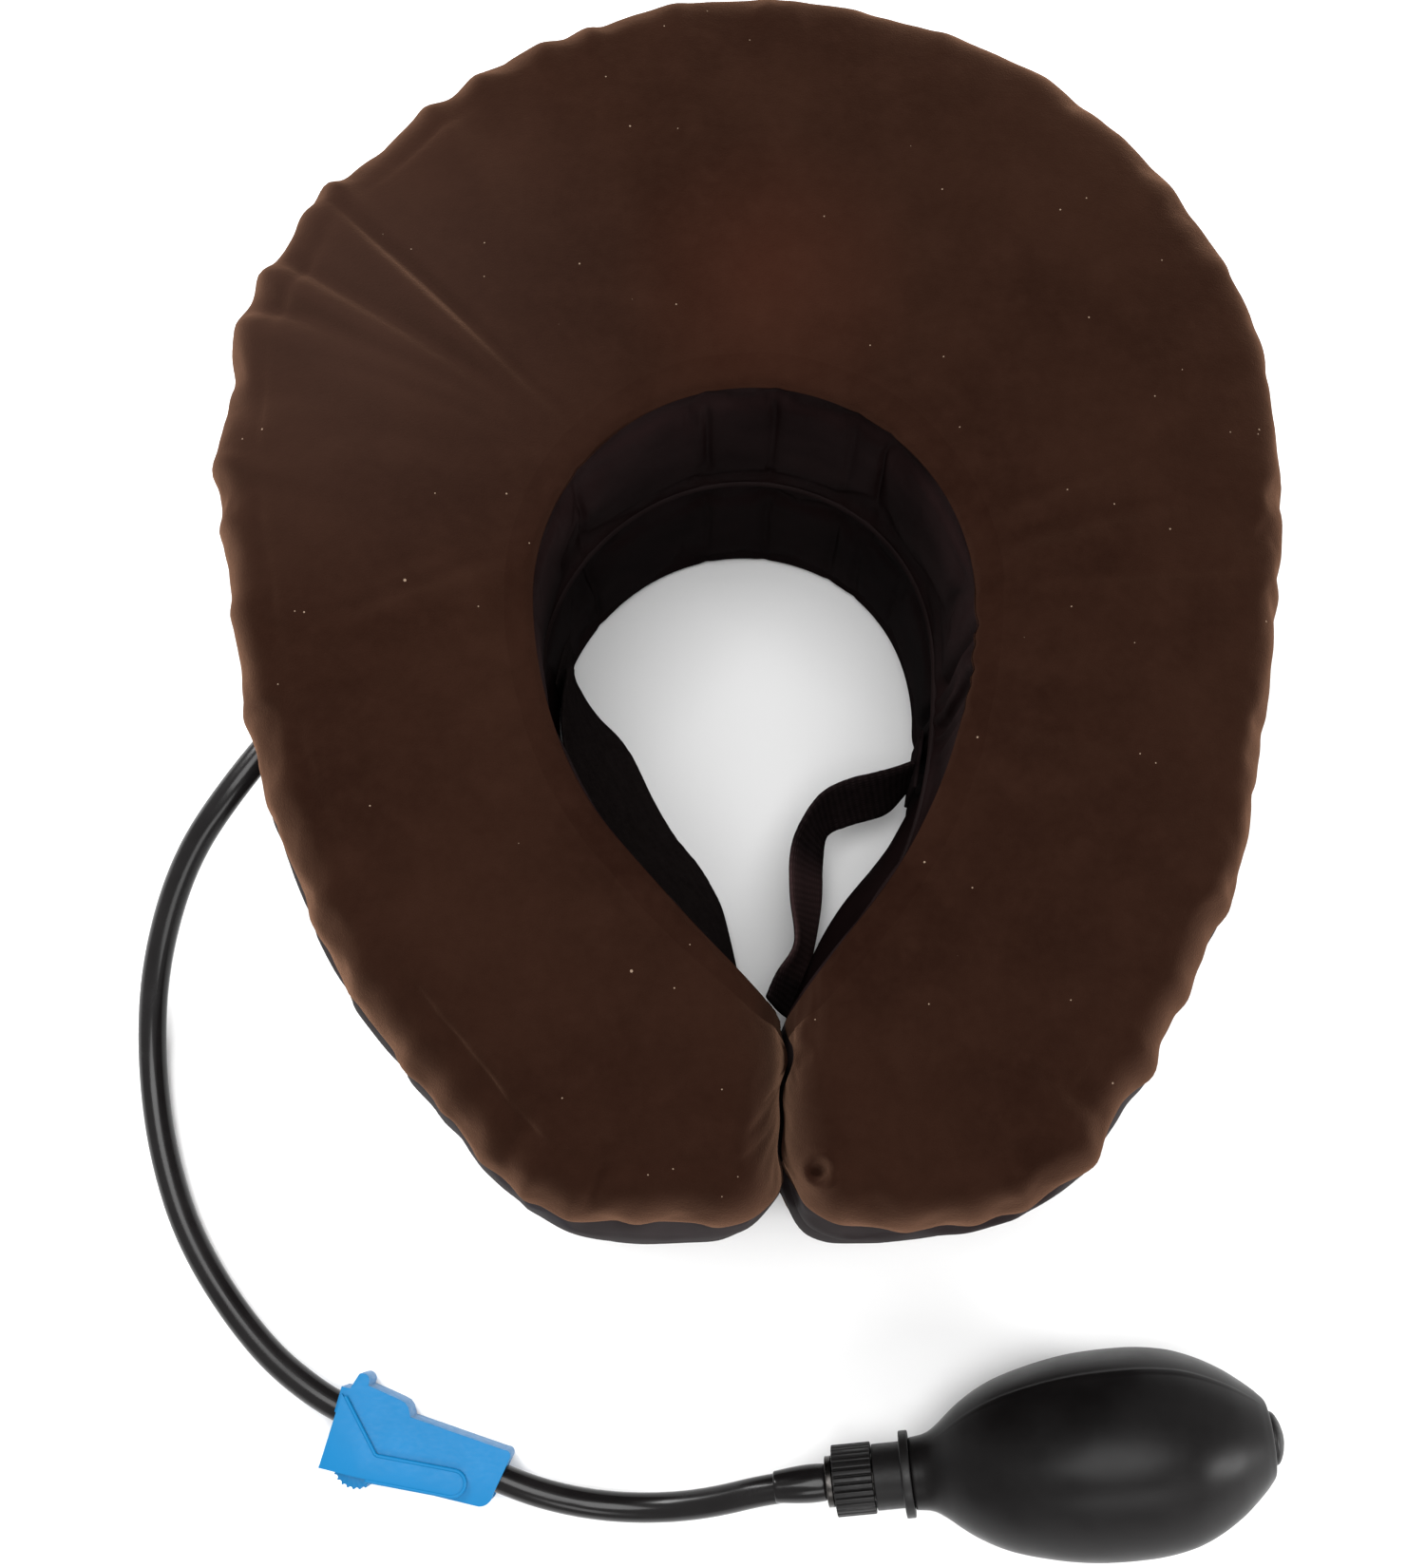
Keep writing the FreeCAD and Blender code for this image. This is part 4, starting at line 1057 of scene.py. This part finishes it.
BULB_PROFILE = [
    (18.9, 6.3), (18.9, 7.9), (19.2, 8.4), (20.6, 8.6), (22.4, 8.9), (24.2, 9.6), (26.6, 11.3),
    (29.2, 13.5), (32.2, 15.8), (36, 18.2), (40, 20.2), (44, 21.7), (49, 23.2), (54, 24.3),
    (59.5, 25.1), (65, 25.45), (70, 25.5), (75, 25.3), (80, 24.6), (85, 23.3), (90, 20.9),
    (95, 17.7), (98.5, 14.9), (101.6, 12.1), (103.2, 10.4), (104.2, 9.2), (104.5, 8.3),
    (104.4, 7.2), (103.9, 6.3), (103.9, 5.0), (103.9, 4.3),
]


def make_bulb():
    cap = [
        (103.6, 0.01), (103.6, 6.0), (104.9, 6.25), (105.6, 6.1), (106.3, 5.3), (107.0, 3.8),
        (107.45, 2.2), (107.6, 1.35), (107.3, 1.1), (106.2, 1.0), (106.2, 0.01),
    ]
    swell = [
        (-14.6, 3.4), (-14.3, 3.72), (-12.6, 3.95), (-9.5, 4.3), (-6.4, 4.5), (-3.6, 4.45),
        (-2.1, 4.2), (-1.9, 3.2),
    ]
    for name, outline, points, slot, around, angle, shape, nodes in (
        ("bulb_skin", BULB_PROFILE, 150, "bulb_rubber", 180, 50, bulb_shape, ["bulb_shell"]),
        ("bulb_end_cap", cap, 60, "valve_plastic", 72, 40, None, ["intake_valve_cap"]),
        ("hose_end_swell", swell, 40, "hose_rubber", 48, 60, None, []),
    ):
        profile = spline([(x, r, 0) for x, r in outline], points)[:, :2]
        piece = turned_piece(name, profile, BULB_PLACE, LOOKS[slot], around, shape)
        smooth(piece, 0, angle)
        finish_piece(piece, "collar_base", slot, *nodes)


# Outline of the clamp's upper side: the CAD's straight slope becomes a tab and a rounded step.
CLAMP_STEP = [
    (5.6, 12.2), (10.0, 11.8), (14.0, 11.4), (15.6, 11.1), (16.8, 10.2), (17.5, 9.1), (18.0, 8.25),
]


def step_clamp(work):
    turn = CLAMP_PLACE.to_3x3()
    for x, _ in CLAMP_STEP[1:-1]:
        bmesh.ops.bisect_plane(
            work, geom=work.verts[:] + work.edges[:] + work.faces[:],
            plane_co=CLAMP_PLACE @ Vector((x * MM, 0, 0)), plane_no=turn @ Vector((1, 0, 0)),
        )
    back = CLAMP_PLACE.inverted()
    for vertex in work.verts:
        spot = back @ vertex.co / MM
        slope = 8.2 + (18.0 - spot.x) * 5.0 / 12.4
        if 5.0 < spot.x < 18.1 and abs(spot.y - slope) < 0.12:
            spot.y = np.interp(spot.x, *zip(*CLAMP_STEP))
            vertex.co = CLAMP_PLACE @ (spot * MM)


def make_track_bead(material):
    """The rounded lip along the roller track's raised edge, on the clamp's two sides."""
    half = 3.1
    start, end = 9-6.4j, 33-3.3j
    run = (end - start) / abs(end - start)
    tip = [end + half * run * cmath.exp(1j * a) for a in np.linspace(math.pi / 2, -math.pi / 2, 13)]
    line = [1.2+8.2j, start + 4.4 * run + half * 1j * run] + tip + [start + 3 * run - half * 1j * run]
    line = np.array(line)
    line = at_length(line, np.linspace(0, lengths(line)[-1], 90))
    for name, height in (("upper_track_lip", 7.15), ("lower_track_lip", -6.9)):
        path = np.stack([line.real, line.imag, np.full(len(line), height)], -1)
        piece = tube(name, path, 0.48, material, sides=10)
        piece.data.transform(CLAMP_PLACE)
        smooth(piece)
        finish_piece(piece, "collar_base", "clamp_blue")


def make_hardware():
    """The moulded and turned parts: finer copies of the CAD nodes, with rounded edges."""
    for node, name, slot, body, bevel in (
        ("clamp_body", "clamp_shell", "clamp_blue", "collar_base", 0.55),
        ("clamp_roller", "clamp_wheel", "clamp_blue", "roller_wheel", 0.12),
        ("roller_axle", "wheel_axle", "clamp_blue", "roller_carriage", 0.2),
        ("release_nut", "knurled_nut", "valve_plastic", "vent_nut", 0.18),
        ("neck_fitting", "neck_flange", "valve_plastic", "collar_base", 0.3),
        ("valve_stem", "vent_stem", "valve_metal", "collar_base", 0.15),
        ("hose_port", "port_elbow", "port_plastic", "collar_base", 0.25),
        ("port_eyelet", "port_ring", "port_plastic", "collar_base", 0.25),
        ("air_transfer_port", "transfer_ring", "port_plastic", "collar_seam", 0.3),
        ("loop_strap_patch", "loop_patch", "loop_webbing", "collar_base", 0.35),
        ("hook_strap_patch", "hook_patch", "hook_webbing", "collar_base", 0.35),
    ):
        reshape = step_clamp if node == "clamp_body" else None
        piece = from_node(node, name, LOOKS[slot], bevel, reshape=reshape)
        finish_piece(piece, body, slot, node)
        if "patch" in node:
            middle = complex(*(sum(c) / 2 / MM for c in list(zip(*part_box(node)))[:2]))
            piece.data.transform(Matrix.Translation((to_the_left(middle, MM), 0, 0)))
            deflate(piece)
    for node, slot in (
        ("stem_seal_ring", "seal_rubber"),
        ("outlet_check_disc", "seal_rubber"),
        ("intake_check_disc", "seal_rubber"),
        ("outlet_valve_seat", "valve_plastic"),
        ("intake_cage", "valve_plastic"),
    ):
        node_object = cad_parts[node]
        node_object.data.materials.clear()
        node_object.data.materials.append(LOOKS[slot])


# -------- the whole object

LOOKS = {
    "velvet": velvet_material("brown_velvet", 0.30),
    "velvet_edge": velvet_material("brown_velvet_edge", 0.05),
    "piping": nylon_material(
        "piping_tape", (0.0085, 0.0052, 0.0052), (0.015, 0.0095, 0.0095), 0.5, 0.02
    ),
}
for look, make, *values in (
    ("hem_velvet", nylon_material, (0.018, 0.0095, 0.0065), (0.030, 0.016, 0.011), 0.8, 0.0),
    ("wall_nylon", nylon_material, (0.013, 0.0092, 0.0095), (0.022, 0.0165, 0.017), 0.36, 0.12),
    ("lining_nylon", nylon_material, (0.008, 0.0043, 0.0043), (0.015, 0.0082, 0.0082), 0.36, 0.018),
    ("bladder_film", plastic_material, (0.014, 0.014, 0.015), 0.3, 0.4),
    ("loop_webbing", webbing_material, (0.003, 0.0022, 0.0022), (0.015, 0.0115, 0.011), 0.9),
    ("hook_webbing", webbing_material, (0.0055, 0.0036, 0.0037), (0.023, 0.0155, 0.016), 0.35,
     (0.045, 0.0255, 0.0255)),
    ("port_plastic", plastic_material, (0.006, 0.006, 0.006), 0.3, 0.4),
    ("hose_rubber", rubber_material, (0.0050, 0.0044, 0.0045), 0.24, 0.05, 0.11, 0.18),
    ("clamp_blue", plastic_material, (0.004, 0.128, 0.300), 0.38, 0.12),
    ("valve_plastic", plastic_material, (0.0058, 0.0053, 0.0053), 0.42, 0.22),
    ("valve_metal", metal_material, (0.045, 0.042, 0.040)),
    ("seal_rubber", rubber_material, (0.01, 0.01, 0.01), 0.6, 0.2),
    ("bulb_rubber", rubber_material, (0.0044, 0.0039, 0.0039), 0.36, 0.10, 0.0, 0.12),
):
    LOOKS[look] = make(look, *values)

make_camera()
make_stage()
make_hardware()
make_track_bead(LOOKS["clamp_blue"])
make_bulb()
make_hose(
    LOOKS["hose_rubber"],
)
make_tier(True)
make_tier(False)
make_piping(LOOKS["piping"])
make_bladders(LOOKS["bladder_film"])
make_strap("loop", LOOP_STRAP, 2.6, 5, 0.22, 0.8)
make_strap("hook", HOOK_STRAP, 1.8, 7, 0.08, 0.5)
